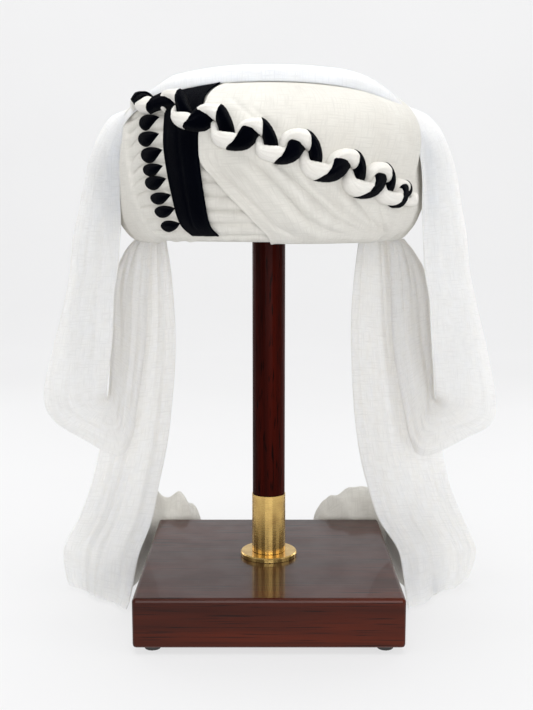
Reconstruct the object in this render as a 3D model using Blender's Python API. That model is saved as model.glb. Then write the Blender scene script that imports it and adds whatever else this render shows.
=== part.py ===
"""Tied turban on a plain display stand: square wood base, brass foot, wood pole, wound white turban
with a black band, a plaited band, a cloth drape with two hanging loops and two pleated tails.
Metres, +Z up, the front faces -Y, the floor under the four feet is z = 0."""
import math

import bpy
from mathutils import Vector

# Driving sizes (m)
BASE_WIDTH = 0.220
BASE_TOP = 0.0468
BASE_EDGE = 0.0030
FOOT_RADIUS = 0.0070
FOOT_HEIGHT = 0.0050
FOOT_INSET = 0.0150
FLANGE_RADIUS = 0.0252
FLANGE_HEIGHT = 0.0040
SLEEVE_RADIUS = 0.0149
SLEEVE_WALL = 0.0024
SLEEVE_TOP = 0.1040
POLE_RADIUS = 0.0143
REST_RADIUS = 0.0550
REST_HEIGHT = 0.0080
RING_HALF_WIDTH = 0.1305
RING_HALF_DEPTH = 0.1380
RING_BOTTOM = 0.3300
RING_HEIGHT = 0.1190
RING_WALL = 0.0440
FOLD_PITCH = 0.0124
FOLD_DEPTH = 0.0020
CROWN_RISE = 0.0110
CLOTH = 0.0025
PANEL_CLOTH = 0.0030
BAND_CLOTH = 0.0020
BRAID_WIDTH = 0.0330
BRAID_PERIOD = 0.1090
STRAND_WIDTH = 0.0118
STRAND_THICK = 0.0055
STRAND_RISE = 0.0048
DRAPE_DEPTH = 0.1050
DRAPE_SAG = 0.0080
DRAPE_RISE = 0.0250
DRAPE_SEAM = 0.0012
DRAPE_FOLD = 0.0007
LOOP_REACH = 0.2030
LOOP_DEPTH = 0.0550
TAIL_DEPTH = 0.0400
TAIL_CLEARANCE = 0.0045
PLEAT_DEPTH = 0.0028
HEAP_HEIGHT = 0.0680
HEAP_WIDTH = 0.0390
GAP = 0.0003
SKIN_GAP = 0.0006

RING_TOP = RING_BOTTOM + RING_HEIGHT
BASE_HALF = BASE_WIDTH / 2
FULL_TURN = 2 * math.pi

# The crown cloth's rim as a share of the wall, and the rows of cloth laid on the skin as shares of its
# height, closer where the wall turns.
CROWN_RIM = 0.86
STRIP_ROWS = (0.0, 0.04, 0.08, 0.12, 0.16, 0.205, 0.26, 0.34, 0.43, 0.52, 0.59, 0.65, 0.70, 0.75, 0.80,
              0.85, 0.90, 0.95, 1.0)
# Wall profile, bottom to top: inset as a share of the wall, height as a share of the ring height.
PROFILE = [
    (0.545, 0.000), (0.318, 0.025), (0.136, 0.092), (0.034, 0.185), (0.000, 0.319), (0.000, 0.521),
    (0.034, 0.681), (0.136, 0.807), (0.318, 0.908), (0.591, 0.971), (0.909, 1.000),
]
INNER_WALL = [(1.000, 0.930), (1.000, 0.620), (1.000, 0.340), (1.000, 0.110), (0.840, 0.012)]

# Black band: height share of the ring, left angle, right angle (degrees round the ring).
BAND = [
    (0.012, -115.2, -107.0), (0.054, -117.2, -107.9), (0.121, -120.6, -109.4), (0.275, -123.5, -111.3),
    (0.462, -125.6, -112.7), (0.612, -126.8, -113.2), (0.800, -126.6, -113.0), (0.868, -125.8, -112.0),
    (0.925, -124.4, -109.6), (0.968, -122.0, -105.6), (0.994, -118.4, -101.6),
]
# Front panel: height share of the ring, left angle, right angle.
PANEL = [
    (0.012, -89.4, -47.0), (0.056, -90.6, -46.0), (0.123, -94.4, -43.0), (0.212, -99.0, -39.4),
    (0.300, -103.7, -35.6), (0.388, -107.6, -32.6), (0.493, -112.0, -29.8), (0.612, -112.6, -27.8),
    (0.720, -112.5, -27.4), (0.800, -112.4, -28.4), (0.868, -111.4, -31.4), (0.925, -109.0, -36.0),
    (0.968, -105.0, -41.0), (0.992, -101.0, -44.0),
]
# Panel folds: angle round the gather (degrees from straight right), depth share, spread in degrees.
PANEL_FOLDS = [(171.0, 0.6, 4.0), (160.0, 0.8, 3.6), (149.0, 1.0, 3.4), (138.0, 1.0, 3.6),
               (126.0, 0.7, 4.0), (112.0, 0.5, 4.5)]
GATHER_ANGLE = -50.0
# Pleats across a tail, folds along the drape.
PLEATS = 3.5
DRAPE_FOLDS = 3.0
# Braid line: angle, height share of the ring, size share.
BRAID = [
    (-141.0, 0.900, 0.72), (-134.0, 0.900, 0.85), (-123.0, 0.862, 0.95), (-114.0, 0.815, 1.00),
    (-107.0, 0.756, 1.00), (-100.0, 0.697, 1.00), (-86.0, 0.612, 1.00), (-72.0, 0.525, 1.00),
    (-64.5, 0.475, 1.00), (-57.0, 0.429, 0.96), (-45.0, 0.360, 0.84), (-33.0, 0.292, 0.66),
]
# How far a strand runs ahead at its crossings, as a share of the period over a full turn,
# the sections along a strand, and the corners of half a strand in degrees.
STRAND_LEAD = 0.20
BRAID_STEPS = 42
STRAND_ARC = (-79.0, -42.0, 0.0, 42.0, 79.0)
# Border leaves: angle, height share of the ring, half length in degrees.
LEAVES = [
    (-133.8, 0.770, 4.2), (-133.8, 0.665, 4.2), (-132.9, 0.558, 4.1), (-132.1, 0.466, 4.0),
    (-130.9, 0.380, 3.9), (-128.9, 0.290, 3.7), (-127.0, 0.202, 3.4), (-124.4, 0.116, 3.1),
]
# Loop edges, inner then outer: x beyond the ring's half width as a share of the reach beyond it,
# y as a share of the loop depth, z as a share of the ring bottom, and over 1 of the ring height above it.
LOOP_LEFT = [
    (-0.193, -0.95, 1.894, 0.034, 0.84, 1.970), (-0.148, -1.02, 1.759, 0.222, 0.82, 1.872),
    (-0.120, -1.04, 1.593, 0.367, 0.80, 1.676), (-0.103, -1.04, 1.419, 0.474, 0.76, 1.434),
    (-0.095, -1.00, 1.147, 0.569, 0.64, 1.147), (-0.075, -0.92, 0.955, 0.653, 0.56, 0.939),
    (-0.008, -0.80, 0.849, 0.759, 0.48, 0.816), (0.059, -0.62, 0.716, 0.894, 0.38, 0.697),
    (0.132, -0.36, 0.615, 0.983, 0.20, 0.577), (0.166, -0.10, 0.580, 0.846, 0.06, 0.512),
    (0.177, 0.04, 0.571, 0.474, 0.00, 0.463), (0.182, 0.14, 0.577, 0.054, 0.02, 0.416),
    (0.177, 0.22, 0.593, -0.109, 0.10, 0.463), (0.166, 0.26, 0.639, -0.176, 0.16, 0.558),
    (0.143, 0.28, 0.762, -0.288, 0.18, 0.721), (0.104, 0.28, 0.884, -0.310, 0.18, 0.857),
    (-0.030, 0.28, 0.961, -0.333, 0.18, 0.952), (-0.176, 0.28, 0.9988, -0.355, 0.18, 0.9988),
]
LOOP_RIGHT = [
    (-0.193, -0.95, 1.894, 0.048, 0.84, 1.985), (-0.137, -1.02, 1.759, 0.244, 0.82, 1.879),
    (-0.098, -1.04, 1.593, 0.406, 0.80, 1.691), (-0.064, -1.04, 1.419, 0.524, 0.76, 1.457),
    (-0.042, -1.00, 1.147, 0.608, 0.64, 1.170), (-0.019, -0.92, 0.955, 0.692, 0.56, 0.944),
    (0.054, -0.80, 0.849, 0.787, 0.48, 0.822), (0.115, -0.62, 0.716, 0.910, 0.38, 0.697),
    (0.194, -0.36, 0.607, 1.017, 0.20, 0.571), (0.227, -0.10, 0.577, 0.950, 0.06, 0.506),
    (0.244, 0.04, 0.569, 0.642, 0.00, 0.468), (0.250, 0.14, 0.571, 0.132, 0.02, 0.416),
    (0.244, 0.22, 0.588, -0.042, 0.10, 0.452), (0.233, 0.26, 0.645, -0.142, 0.16, 0.551),
    (0.194, 0.28, 0.762, -0.277, 0.18, 0.721), (0.138, 0.28, 0.893, -0.310, 0.18, 0.871),
    (-0.008, 0.28, 0.961, -0.322, 0.18, 0.952), (-0.148, 0.28, 0.9988, -0.355, 0.18, 0.9988),
]
# Crest of the drape from left to right: x as a share of the ring's half width, height below its top
# as a share of the ring height.
DRAPE_CREST = [
    (-1.000, 0.225), (-0.890, 0.165), (-0.740, 0.100), (-0.590, 0.062), (-0.310, 0.012), (0.000, 0.000),
    (0.310, 0.010), (0.590, 0.044), (0.740, 0.082), (0.890, 0.152), (1.000, 0.220),
]
# Tail edges: x outside the base side as a share of the loop reach beyond it, y of the tail depth,
# z of the ring bottom; the edge beside the base, then the outer edge.
TAIL_LEFT = [
    (-0.240, 0.80, 0.999, 0.040, 1.05, 0.999), (-0.290, 0.80, 0.900, 0.140, 1.05, 0.880),
    (-0.320, 0.80, 0.770, 0.215, 1.05, 0.750), (-0.316, 0.80, 0.660, 0.290, 1.05, 0.640),
    (-0.280, 0.78, 0.540, 0.380, 1.05, 0.510), (-0.230, 0.74, 0.430, 0.470, 1.05, 0.400),
    (-0.150, 0.62, 0.320, 0.560, 1.05, 0.300), (-0.080, 0.46, 0.220, 0.680, 1.05, 0.210),
    (0.030, 0.20, 0.140, 0.830, 1.02, 0.130), (0.070, -0.10, 0.080, 0.850, 1.05, 0.085),
    (0.100, -0.36, 0.034, 0.830, 1.06, 0.034), (0.130, -0.50, 0.0085, 0.800, 1.05, 0.0085),
]
TAIL_RIGHT = [
    (-0.360, 0.80, 0.999, 0.080, 1.05, 0.999), (-0.405, 0.80, 0.890, 0.180, 1.05, 0.880),
    (-0.430, 0.80, 0.770, 0.270, 1.05, 0.750), (-0.415, 0.80, 0.630, 0.360, 1.05, 0.620),
    (-0.385, 0.78, 0.510, 0.440, 1.05, 0.500), (-0.330, 0.74, 0.400, 0.520, 1.05, 0.390),
    (-0.260, 0.66, 0.320, 0.600, 1.05, 0.300), (-0.150, 0.50, 0.225, 0.730, 1.05, 0.210),
    (0.030, 0.20, 0.150, 0.860, 1.05, 0.130), (0.070, -0.10, 0.090, 0.880, 1.15, 0.090),
    (0.090, -0.36, 0.040, 0.860, 1.35, 0.040), (0.110, -0.50, 0.0085, 0.830, 1.45, 0.0085),
]
# Cloth ends on the floor: x as a share of the base's half width, and over 1 of the loop reach beyond it,
# y as a share of the base's half width, width share, height share.
HEAP_LEFT = [
    (1.468, 0.150, 0.40, 0.22), (1.390, 0.270, 0.66, 0.38), (1.343, 0.500, 0.84, 0.52),
    (1.343, 0.773, 0.96, 0.68), (1.322, 0.982, 1.00, 0.84), (1.225, 1.155, 1.00, 0.96),
    (1.024, 1.224, 1.00, 1.00), (0.860, 1.228, 0.98, 0.94), (0.740, 1.222, 0.86, 0.80),
    (0.660, 1.216, 0.66, 0.60), (0.610, 1.212, 0.40, 0.30),
]
HEAP_RIGHT = [
    (1.457, 0.169, 0.40, 0.22), (1.397, 0.290, 0.66, 0.38), (1.343, 0.500, 0.84, 0.52),
    (1.343, 0.773, 0.96, 0.68), (1.322, 0.982, 1.00, 0.84), (1.225, 1.155, 1.00, 0.94),
    (1.000, 1.228, 1.00, 0.97), (0.780, 1.232, 1.00, 0.98), (0.600, 1.228, 0.94, 0.88),
    (0.470, 1.220, 0.72, 0.68), (0.390, 1.216, 0.40, 0.34),
]


def material(name, color, roughness, metallic=0.0):
    """Principled material."""
    mat = bpy.data.materials.new(name)
    mat.use_nodes = True
    shader = mat.node_tree.nodes["Principled BSDF"]
    shader.inputs["Base Color"].default_value = (*color, 1.0)
    shader.inputs["Roughness"].default_value = roughness
    shader.inputs["Metallic"].default_value = metallic
    return mat


def add_object(name, verts, faces, mat, smooth=True):
    """Mesh object from vertices and faces."""
    mesh = bpy.data.meshes.new(name)
    mesh.from_pydata([tuple(v) for v in verts], [], faces)
    mesh.materials.append(mat)
    mesh.update()
    obj = bpy.data.objects.new(name, mesh)
    bpy.context.scene.collection.objects.link(obj)
    if smooth:
        for poly in mesh.polygons:
            poly.use_smooth = True
        mesh.set_sharp_from_angle(angle=math.radians(50))
    return obj


def lathe(name, profile, mat, center=(0.0, 0.0), sides=28):
    """Round solid from a (radius, height) outline that starts and ends on the axis or closes itself."""
    on_axis = profile[0][0] == 0.0
    rows = profile[1:-1] if on_axis else profile
    verts = []
    for radius, height in rows:
        for i in range(sides):
            a = FULL_TURN * i / sides
            verts.append((center[0] + radius * math.cos(a), center[1] + radius * math.sin(a), height))
    faces = []
    last = len(rows) - 1 if on_axis else len(rows)
    for r in range(last):
        low = r * sides
        high = ((r + 1) % len(rows)) * sides
        for i in range(sides):
            j = (i + 1) % sides
            faces.append((low + i, low + j, high + j, high + i))
    if on_axis:
        faces.append(tuple(reversed(range(sides))))
        top = (len(rows) - 1) * sides
        faces.append(tuple(top + i for i in range(sides)))
    return add_object(name, verts, faces, mat)


def smooth_row(table, x, column):
    """Value of a table column at x, where column 0 holds x, eased between the rows."""
    if x <= table[0][0]:
        return table[0][column]
    for k in range(len(table) - 1):
        x0, x1 = table[k][0], table[k + 1][0]
        if x <= x1:
            f = (x - x0) / (x1 - x0)
            y0, y1 = table[k][column], table[k + 1][column]
            before = table[max(k - 1, 0)]
            after = table[min(k + 2, len(table) - 1)]
            d0 = (y1 - before[column]) / (x1 - before[0]) * (x1 - x0)
            d1 = (after[column] - y0) / (after[0] - x0) * (x1 - x0)
            return ((2 * f ** 3 - 3 * f ** 2 + 1) * y0 + (f ** 3 - 2 * f ** 2 + f) * d0
                    + (3 * f ** 2 - 2 * f ** 3) * y1 + (f ** 3 - f ** 2) * d1)
    return table[-1][column]


def profile_table():
    """Wall profile against its own length: length, inset, height."""
    rows = []
    length = 0.0
    last = None
    for inset, height in PROFILE:
        point = (inset * RING_WALL, height * RING_HEIGHT)
        if last:
            length += math.hypot(point[0] - last[0], point[1] - last[1])
        rows.append((length, point[0], point[1]))
        last = point
    return rows


WALL = profile_table()
WALL_LENGTH = WALL[-1][0]


def wall_at(length):
    """Inset and height of the wall profile at a length along it."""
    return smooth_row(WALL, length, 1), smooth_row(WALL, length, 2)


def length_at(height_share):
    """Length along the profile where it reaches a height share of the ring."""
    low, high = 0.0, WALL_LENGTH
    for _ in range(30):
        mid = (low + high) / 2
        if wall_at(mid)[1] < height_share * RING_HEIGHT:
            low = mid
        else:
            high = mid
    return (low + high) / 2


def ring_point(angle, inset, height):
    """Point at an inset from the outer oval and a height above the ring bottom, with the outward normal."""
    c, s = math.cos(angle), math.sin(angle)
    out = Vector((c * RING_HALF_DEPTH, s * RING_HALF_WIDTH, 0.0)).normalized()
    point = Vector((c * RING_HALF_WIDTH, s * RING_HALF_DEPTH, RING_BOTTOM + height)) - out * inset
    return point, out


def skin(angle_deg, length, lift):
    """Point above the ring's skin and the skin's normal there."""
    length = min(max(length, 0.0), WALL_LENGTH)
    inset, height = wall_at(length)
    step = WALL_LENGTH * 0.01
    a = wall_at(max(length - step, 0.0))
    b = wall_at(min(length + step, WALL_LENGTH))
    slope_in, slope_up = b[0] - a[0], b[1] - a[1]
    size = math.hypot(slope_in, slope_up)
    point, out = ring_point(math.radians(angle_deg), inset, height)
    normal = (out * slope_up + Vector((0.0, 0.0, 1.0)) * slope_in) / size
    return point + normal * lift, normal


def top_height(x, y):
    """Highest skin of the ring or the crown over a plan point."""
    low, high = 0.0, RING_HALF_WIDTH * 0.99
    for _ in range(24):
        mid = (low + high) / 2
        if (x / (RING_HALF_WIDTH - mid)) ** 2 + (y / (RING_HALF_DEPTH - mid)) ** 2 < 1.0:
            low = mid
        else:
            high = mid
    shoulder = [(inset, height) for _, inset, height in WALL if height > RING_HEIGHT * 0.5 and inset > 0.0]
    ring = RING_TOP
    if low < shoulder[-1][0]:
        ring = RING_BOTTOM + smooth_row(shoulder, max(low, shoulder[0][0]), 1)
    rim = CROWN_RIM * RING_WALL
    u = (x / (RING_HALF_WIDTH - rim)) ** 2 + (y / (RING_HALF_DEPTH - rim)) ** 2
    if u < 1.0:
        ring = max(ring, RING_TOP + GAP + CLOTH + CROWN_RISE * (1.0 - u))
    return ring


def sheet(name, grid, thickness, mat):
    """Cloth solid from a grid of middle points."""
    rows, cols = len(grid), len(grid[0])
    verts = [p for row in grid for p in row]
    faces = []
    for r in range(rows - 1):
        for c in range(cols - 1):
            a = r * cols + c
            faces.append((a, a + 1, a + cols + 1, a + cols))
    obj = add_object(name, verts, faces, mat)
    wall = obj.modifiers.new("Wall", "SOLIDIFY")
    wall.thickness = thickness
    wall.offset = 0.0
    return obj


def loft(name, sections, mat, split=0):
    """Closed solid through sections with the same number of points. A split of 1 or 2 cuts the last
    strip's faces along one diagonal or the other, so that two halves of a strand meet face to face."""
    count = len(sections[0])
    verts = [p for section in sections for p in section]
    faces = []
    for r in range(len(sections) - 1):
        low, high = r * count, (r + 1) * count
        for i in range(count):
            j = (i + 1) % count
            quad = (low + i, low + j, high + j, high + i)
            if split and j == 0:
                turned = quad[split - 1:] + quad[:split - 1]
                faces.append((turned[0], turned[1], turned[2]))
                faces.append((turned[0], turned[2], turned[3]))
            else:
                faces.append(quad)
    faces.append(tuple(reversed(range(count))))
    top = (len(sections) - 1) * count
    faces.append(tuple(top + i for i in range(count)))
    return add_object(name, verts, faces, mat)


def stand(wood, pole_wood, brass, rubber, plain):
    """Base, feet, flange, sleeve, pole and the hidden rest."""
    bpy.ops.mesh.primitive_cube_add(size=1.0)
    block = bpy.context.active_object
    block.name = "base_block"
    block.data.name = "base_block"
    height = BASE_TOP - FOOT_HEIGHT - GAP
    for vert in block.data.vertices:
        vert.co = Vector((vert.co.x * BASE_WIDTH, vert.co.y * BASE_WIDTH,
                          vert.co.z * height + BASE_TOP - height / 2))
    block.data.materials.append(wood)
    edge = block.modifiers.new("Edge", "BEVEL")
    edge.width = BASE_EDGE
    edge.segments = 3
    for index, (sx, sy) in enumerate([(-1, -1), (1, -1), (1, 1), (-1, 1)], start=1):
        spot = (sx * (BASE_HALF - FOOT_INSET), sy * (BASE_HALF - FOOT_INSET))
        outline = [(0.0, 0.0), (FOOT_RADIUS * 0.93, 0.0), (FOOT_RADIUS, FOOT_HEIGHT * 0.2),
                   (FOOT_RADIUS, FOOT_HEIGHT), (0.0, FOOT_HEIGHT)]
        lathe("foot_%d" % index, outline, rubber, spot, 16)
    low = BASE_TOP + GAP
    top = low + FLANGE_HEIGHT
    lathe("brass_flange", [(0.0, low), (FLANGE_RADIUS, low), (FLANGE_RADIUS, top - FLANGE_HEIGHT * 0.25),
                           (FLANGE_RADIUS * 0.97, top), (0.0, top)], brass, sides=40)
    bore = SLEEVE_RADIUS - SLEEVE_WALL
    low = top + GAP
    lathe("brass_sleeve", [(bore, low), (SLEEVE_RADIUS, low), (SLEEVE_RADIUS, SLEEVE_TOP), (bore, SLEEVE_TOP)],
          brass)
    share = REST_RADIUS / (RING_HALF_WIDTH - CROWN_RIM * RING_WALL)
    rest_top = RING_TOP + CROWN_RISE * (0.98 - share ** 2)
    pole_top = rest_top - REST_HEIGHT - GAP
    lathe("pole", [(0.0, low), (bore - GAP, low), (bore - GAP, SLEEVE_TOP + GAP),
                   (POLE_RADIUS, SLEEVE_TOP + GAP), (POLE_RADIUS, pole_top), (0.0, pole_top)], pole_wood)
    lathe("support_disc", [(0.0, pole_top + GAP), (REST_RADIUS, pole_top + GAP),
                           (REST_RADIUS, rest_top), (0.0, rest_top)], plain)


def smooth_step(low, high, value):
    """Eased 0 to 1 between low and high."""
    f = min(max((value - low) / (high - low), 0.0), 1.0)
    return f * f * (3 - 2 * f)


def wound_body(mat):
    """Thick wound ring, open inside for the head, with stacked folds at the front left."""
    angles = [-196.0 + 7.5 * k for k in range(15)] + [-84.0 + 11.8 * k for k in range(21)]
    lines = int(WALL_LENGTH * 0.70 / FOLD_PITCH * 2)
    verts = []
    for angle in angles:
        folded = smooth_step(-192.0, -180.0, angle) * (1.0 - smooth_step(-100.0, -90.0, angle))
        slant = FOLD_PITCH * 1.6 * (1.0 - smooth_step(-152.0, -132.0, angle)) * folded
        verts.append(skin(angle, 0.0, 0.0)[0])
        for k in range(lines):
            length = WALL_LENGTH * 0.05 + FOLD_PITCH * k / 2
            length = max(length - slant * (1.0 - length / WALL_LENGTH), length * 0.4)
            high = 1.0 - smooth_step(0.64, 0.76, length / WALL_LENGTH)
            groove = FOLD_DEPTH * (0.95 * folded * high if k % 2 == 0 else 0.0)
            verts.append(skin(angle, length, -groove - FOLD_DEPTH * 0.05)[0])
        for share in (0.79, 0.86, 0.93, 1.0):
            verts.append(skin(angle, WALL_LENGTH * share, 0.0)[0])
        for inset, height in INNER_WALL:
            verts.append(ring_point(math.radians(angle), inset * RING_WALL, height * RING_HEIGHT)[0])
    count = len(verts) // len(angles)
    faces = []
    for r in range(len(angles)):
        low, high = r * count, ((r + 1) % len(angles)) * count
        for i in range(count):
            j = (i + 1) % count
            faces.append((low + i, high + i, high + j, low + j))
    return add_object("wound_body", verts, faces, mat)


def crown_cloth(mat):
    """Domed cloth that closes the top of the ring."""
    rings, sides = 3, 28
    rim = CROWN_RIM * RING_WALL
    middle = RING_TOP + GAP + CLOTH / 2
    verts = [Vector((0.0, 0.0, middle + CROWN_RISE))]
    for r in range(1, rings + 1):
        share = r / rings
        for i in range(sides):
            a = FULL_TURN * i / sides
            x = (RING_HALF_WIDTH - rim) * share * math.cos(a)
            y = (RING_HALF_DEPTH - rim) * share * math.sin(a)
            verts.append(Vector((x, y, middle + CROWN_RISE * (1.0 - share ** 2))))
    faces = [(0, 1 + i, 1 + (i + 1) % sides) for i in range(sides)]
    for r in range(rings - 1):
        low = 1 + r * sides
        for i in range(sides):
            j = (i + 1) % sides
            faces.append((low + i, low + sides + i, low + sides + j, low + j))
    obj = add_object("crown_cloth", verts, faces, mat)
    wall = obj.modifiers.new("Wall", "SOLIDIFY")
    wall.thickness = CLOTH
    wall.offset = 0.0
    return obj


def skin_strip(name, table, cols, thickness, mat, relief=None):
    """Cloth laid on the ring's skin between a left and a right angle."""
    lengths = [(length_at(row[0]), row[1], row[2]) for row in table]
    grid = []
    for share in STRIP_ROWS:
        length = lengths[0][0] + (lengths[-1][0] - lengths[0][0]) * share
        left = smooth_row(lengths, length, 1)
        right = smooth_row(lengths, length, 2)
        row = []
        for c in range(cols + 1):
            angle = left + (right - left) * c / cols
            extra = relief(angle, length) if relief else 0.0
            row.append(skin(angle, length, SKIN_GAP + thickness / 2 + extra)[0])
        grid.append(row)
    return sheet(name, grid, thickness, mat)


def panel_relief(angle_deg, length):
    """Folds of the front panel that run to the gather at its lower right."""
    across = math.radians(angle_deg - GATHER_ANGLE) * RING_HALF_DEPTH
    up = length - WALL_LENGTH * 0.10
    turn = math.degrees(math.atan2(up, across))
    reach = math.hypot(across, up) / RING_HALF_WIDTH
    depth = 0.0
    for at, share, spread in PANEL_FOLDS:
        depth += share * math.exp(-((turn - at) / spread) ** 2)
    near = smooth_step(0.02, 0.30, reach) * (1.0 - 0.8 * smooth_step(0.9, 1.7, reach))
    return FOLD_DEPTH * max(0.0, 1.0 - depth) * near


def leaf(name, angle_deg, height_share, half_long, mat):
    """Domed black leaf beside the band, pointed toward it."""
    length = length_at(height_share)
    sides = 8
    half_high = FOLD_PITCH * 0.40
    rings = [(1.0, 0.0), (1.0, 0.45), (0.62, 0.90)]
    verts = []
    for share, lift in rings:
        for i in range(sides):
            a = FULL_TURN * i / sides
            along, up = math.cos(a), math.sin(a)
            up *= 1.0 - 0.55 * max(along, 0.0)
            verts.append(skin(angle_deg + half_long * share * along, length + half_high * share * up,
                              SKIN_GAP + PANEL_CLOTH * lift)[0])
    verts.append(skin(angle_deg, length, SKIN_GAP + PANEL_CLOTH)[0])
    faces = [tuple(reversed(range(sides)))]
    for r in range(2):
        for i in range(sides):
            j = (i + 1) % sides
            faces.append((r * sides + i, r * sides + j, (r + 1) * sides + j, (r + 1) * sides + i))
    for i in range(sides):
        faces.append((2 * sides + i, 2 * sides + (i + 1) % sides, 3 * sides))
    return add_object(name, verts, faces, mat)


def braid_line():
    """Braid centre line against its own length: length, angle, profile length, size."""
    rows = []
    total = 0.0
    last = None
    for angle, height_share, size in BRAID:
        length = length_at(height_share)
        point = skin(angle, length, 0.0)[0]
        if last is not None:
            total += (point - last).length
        rows.append((total, angle, length, size))
        last = point
    return rows


def braid_frame(line, along):
    """Centre, forward, across and outward directions and the size of the braid at a length."""
    def at(value):
        return skin(smooth_row(line, value, 1), smooth_row(line, value, 2), 0.0)
    point, normal = at(along)
    step = BRAID_WIDTH * 0.1
    total = line[-1][0]
    forward = at(min(along + step, total))[0] - at(max(along - step, 0.0))[0]
    forward = (forward - normal * forward.dot(normal)).normalized()
    across = normal.cross(forward)
    return point, forward, across, normal, smooth_row(line, along, 3)


def strand_sections(line, turn, dark):
    """Sections of the white or the dark half of one braid strand."""
    total = line[-1][0]
    sway = (BRAID_WIDTH - STRAND_WIDTH) / 2
    base = SKIN_GAP + PANEL_CLOTH + FOLD_DEPTH * 1.2
    sections = []

    def center(share):
        phase = FULL_TURN * (share * total / BRAID_PERIOD) + turn
        lead = STRAND_LEAD * math.sin(2 * phase) * BRAID_PERIOD / FULL_TURN
        point, forward, across, normal, size = braid_frame(line, share * total)
        spot = (point + forward * lead * size + across * sway * size * math.cos(phase)
                + normal * (base + (STRAND_THICK / 2 + STRAND_RISE * (1.0 + math.sin(2 * phase))) * size))
        return spot, normal, phase, size

    for k in range(BRAID_STEPS + 1):
        share = 0.02 + 0.96 * k / BRAID_STEPS
        spot, normal, phase, size = center(share)
        ahead = center(min(share + 0.004, 1.0))[0] - center(share - 0.004)[0]
        ahead.normalize()
        side = normal.cross(ahead).normalized()
        out = ahead.cross(side).normalized()
        swing = (math.degrees(phase) + 90.0) % 180.0 - 90.0
        down = (math.degrees(phase) + 90.0) % 360.0 < 180.0
        flip = smooth_step(-88.0, 58.0, swing)
        spin = -math.pi * (1.0 - flip) if down else math.pi * (2.0 - flip)
        section = []
        width, thick = STRAND_WIDTH * size / 2, STRAND_THICK * size / 2
        for degrees in STRAND_ARC:
            a = spin + math.radians(degrees) + (0.0 if dark else math.pi)
            section.append(spot + side * width * math.cos(a) + out * thick * math.sin(a))
        sections.append(section)
    return sections


def braid(white, black):
    """Three interlaced strands, each a white half and a dark border half."""
    line = braid_line()
    for k in range(3):
        turn = FULL_TURN * k / 3
        loft("braid_strand_%d" % (k + 1), strand_sections(line, turn, False), white, 1)
        loft("braid_border_%d" % (k + 1), strand_sections(line, turn, True), black, 2)


def loop_point(side, x, y, z):
    """Point of a loop's edge from its table shares."""
    spot = RING_HALF_WIDTH + x * (LOOP_REACH - RING_HALF_WIDTH)
    level = RING_BOTTOM * min(z, 1.0) + RING_HEIGHT * max(z - 1.0, 0.0)
    return Vector((side * spot, y * LOOP_DEPTH, level))


def crown_drape(mat):
    """Broad cloth over the crown from shoulder to shoulder, above the tops of both loops."""
    cols, rows = 16, 8
    ends = []
    for side, table in ((-1, LOOP_LEFT), (1, LOOP_RIGHT)):
        inner = loop_point(side, *table[0][:3])
        outer = loop_point(side, *table[0][3:])
        back = Vector((-side * DRAPE_SEAM, 0.0, DRAPE_SEAM * 0.55))
        ends.append((inner + back, outer + back))
    left, right = ends
    front = -DRAPE_DEPTH * 0.43
    back = DRAPE_DEPTH * 0.57
    grid = []
    for r in range(rows + 1):
        v = r / rows
        row = []
        for c in range(cols + 1):
            u = c / cols
            middle = math.sin(math.pi * u) ** 0.6
            start = left[0].lerp(left[1], v)
            end = right[0].lerp(right[1], v)
            x = start.x + (end.x - start.x) * u
            near = start if u < 0.5 else end
            y_middle = front + (back - front) * v
            y = near.y + (y_middle - near.y) * middle
            crest = smooth_row(DRAPE_CREST, x / RING_HALF_WIDTH, 1) * RING_HEIGHT
            sag = DRAPE_SAG * (1.0 - math.sin(math.pi * (0.08 + 0.84 * v)) ** 0.7)
            folds = DRAPE_FOLD * (1.0 + math.cos(FULL_TURN * DRAPE_FOLDS * v))
            hang = RING_TOP + DRAPE_RISE - CLOTH / 2 - crest - sag - folds
            inside = smooth_step(0.0, 0.16, min(u, 1.0 - u))
            hang = near.z + (hang - near.z) * inside
            rest = top_height(x, y) + SKIN_GAP + CLOTH / 2 + GAP
            row.append(Vector((x, y, max(hang, rest))))
        grid.append(row)
    return sheet("crown_drape", grid, CLOTH, mat)


def ribbon(name, table, place, steps, cols, relief, mat):
    """Ruled cloth between two edge curves, with relief across it."""
    rows = [(float(k),) + row for k, row in enumerate(table)]
    last = len(table) - 1
    edges = []
    for k in range(steps + 1):
        t = last * k / steps
        values = [smooth_row(rows, t, column) for column in range(1, 7)]
        edges.append((place(values[0], values[1], values[2]), place(values[3], values[4], values[5])))
    grid = []
    for k in range(steps + 1):
        inner, outer = edges[k]
        near = edges[min(k + 1, steps)]
        past = edges[max(k - 1, 0)]
        ahead = (near[0] + near[1]) - (past[0] + past[1])
        normal = (outer - inner).cross(ahead).normalized()
        row = []
        for c in range(cols + 1):
            v = c / cols
            row.append(inner + (outer - inner) * v + normal * relief(k / steps, v, (outer - inner).length))
        grid.append(row)
    return sheet(name, grid, CLOTH, mat)


def loop(name, side, table, mat):
    """Hanging loop of cloth: outer arm down, round the tip, inner arm up to the ring."""
    def place(x, y, z):
        return loop_point(side, x, y, z)

    def relief(u, v, width):
        soft = math.sin(math.pi * v) * width * 0.07
        folds = math.sin(FULL_TURN * 1.5 * v + 2.0 * u) * width * 0.02
        return -side * (soft + folds) * smooth_step(0.0, 0.12, u)
    return ribbon(name, table, place, 28, 7, relief, mat)


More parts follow.
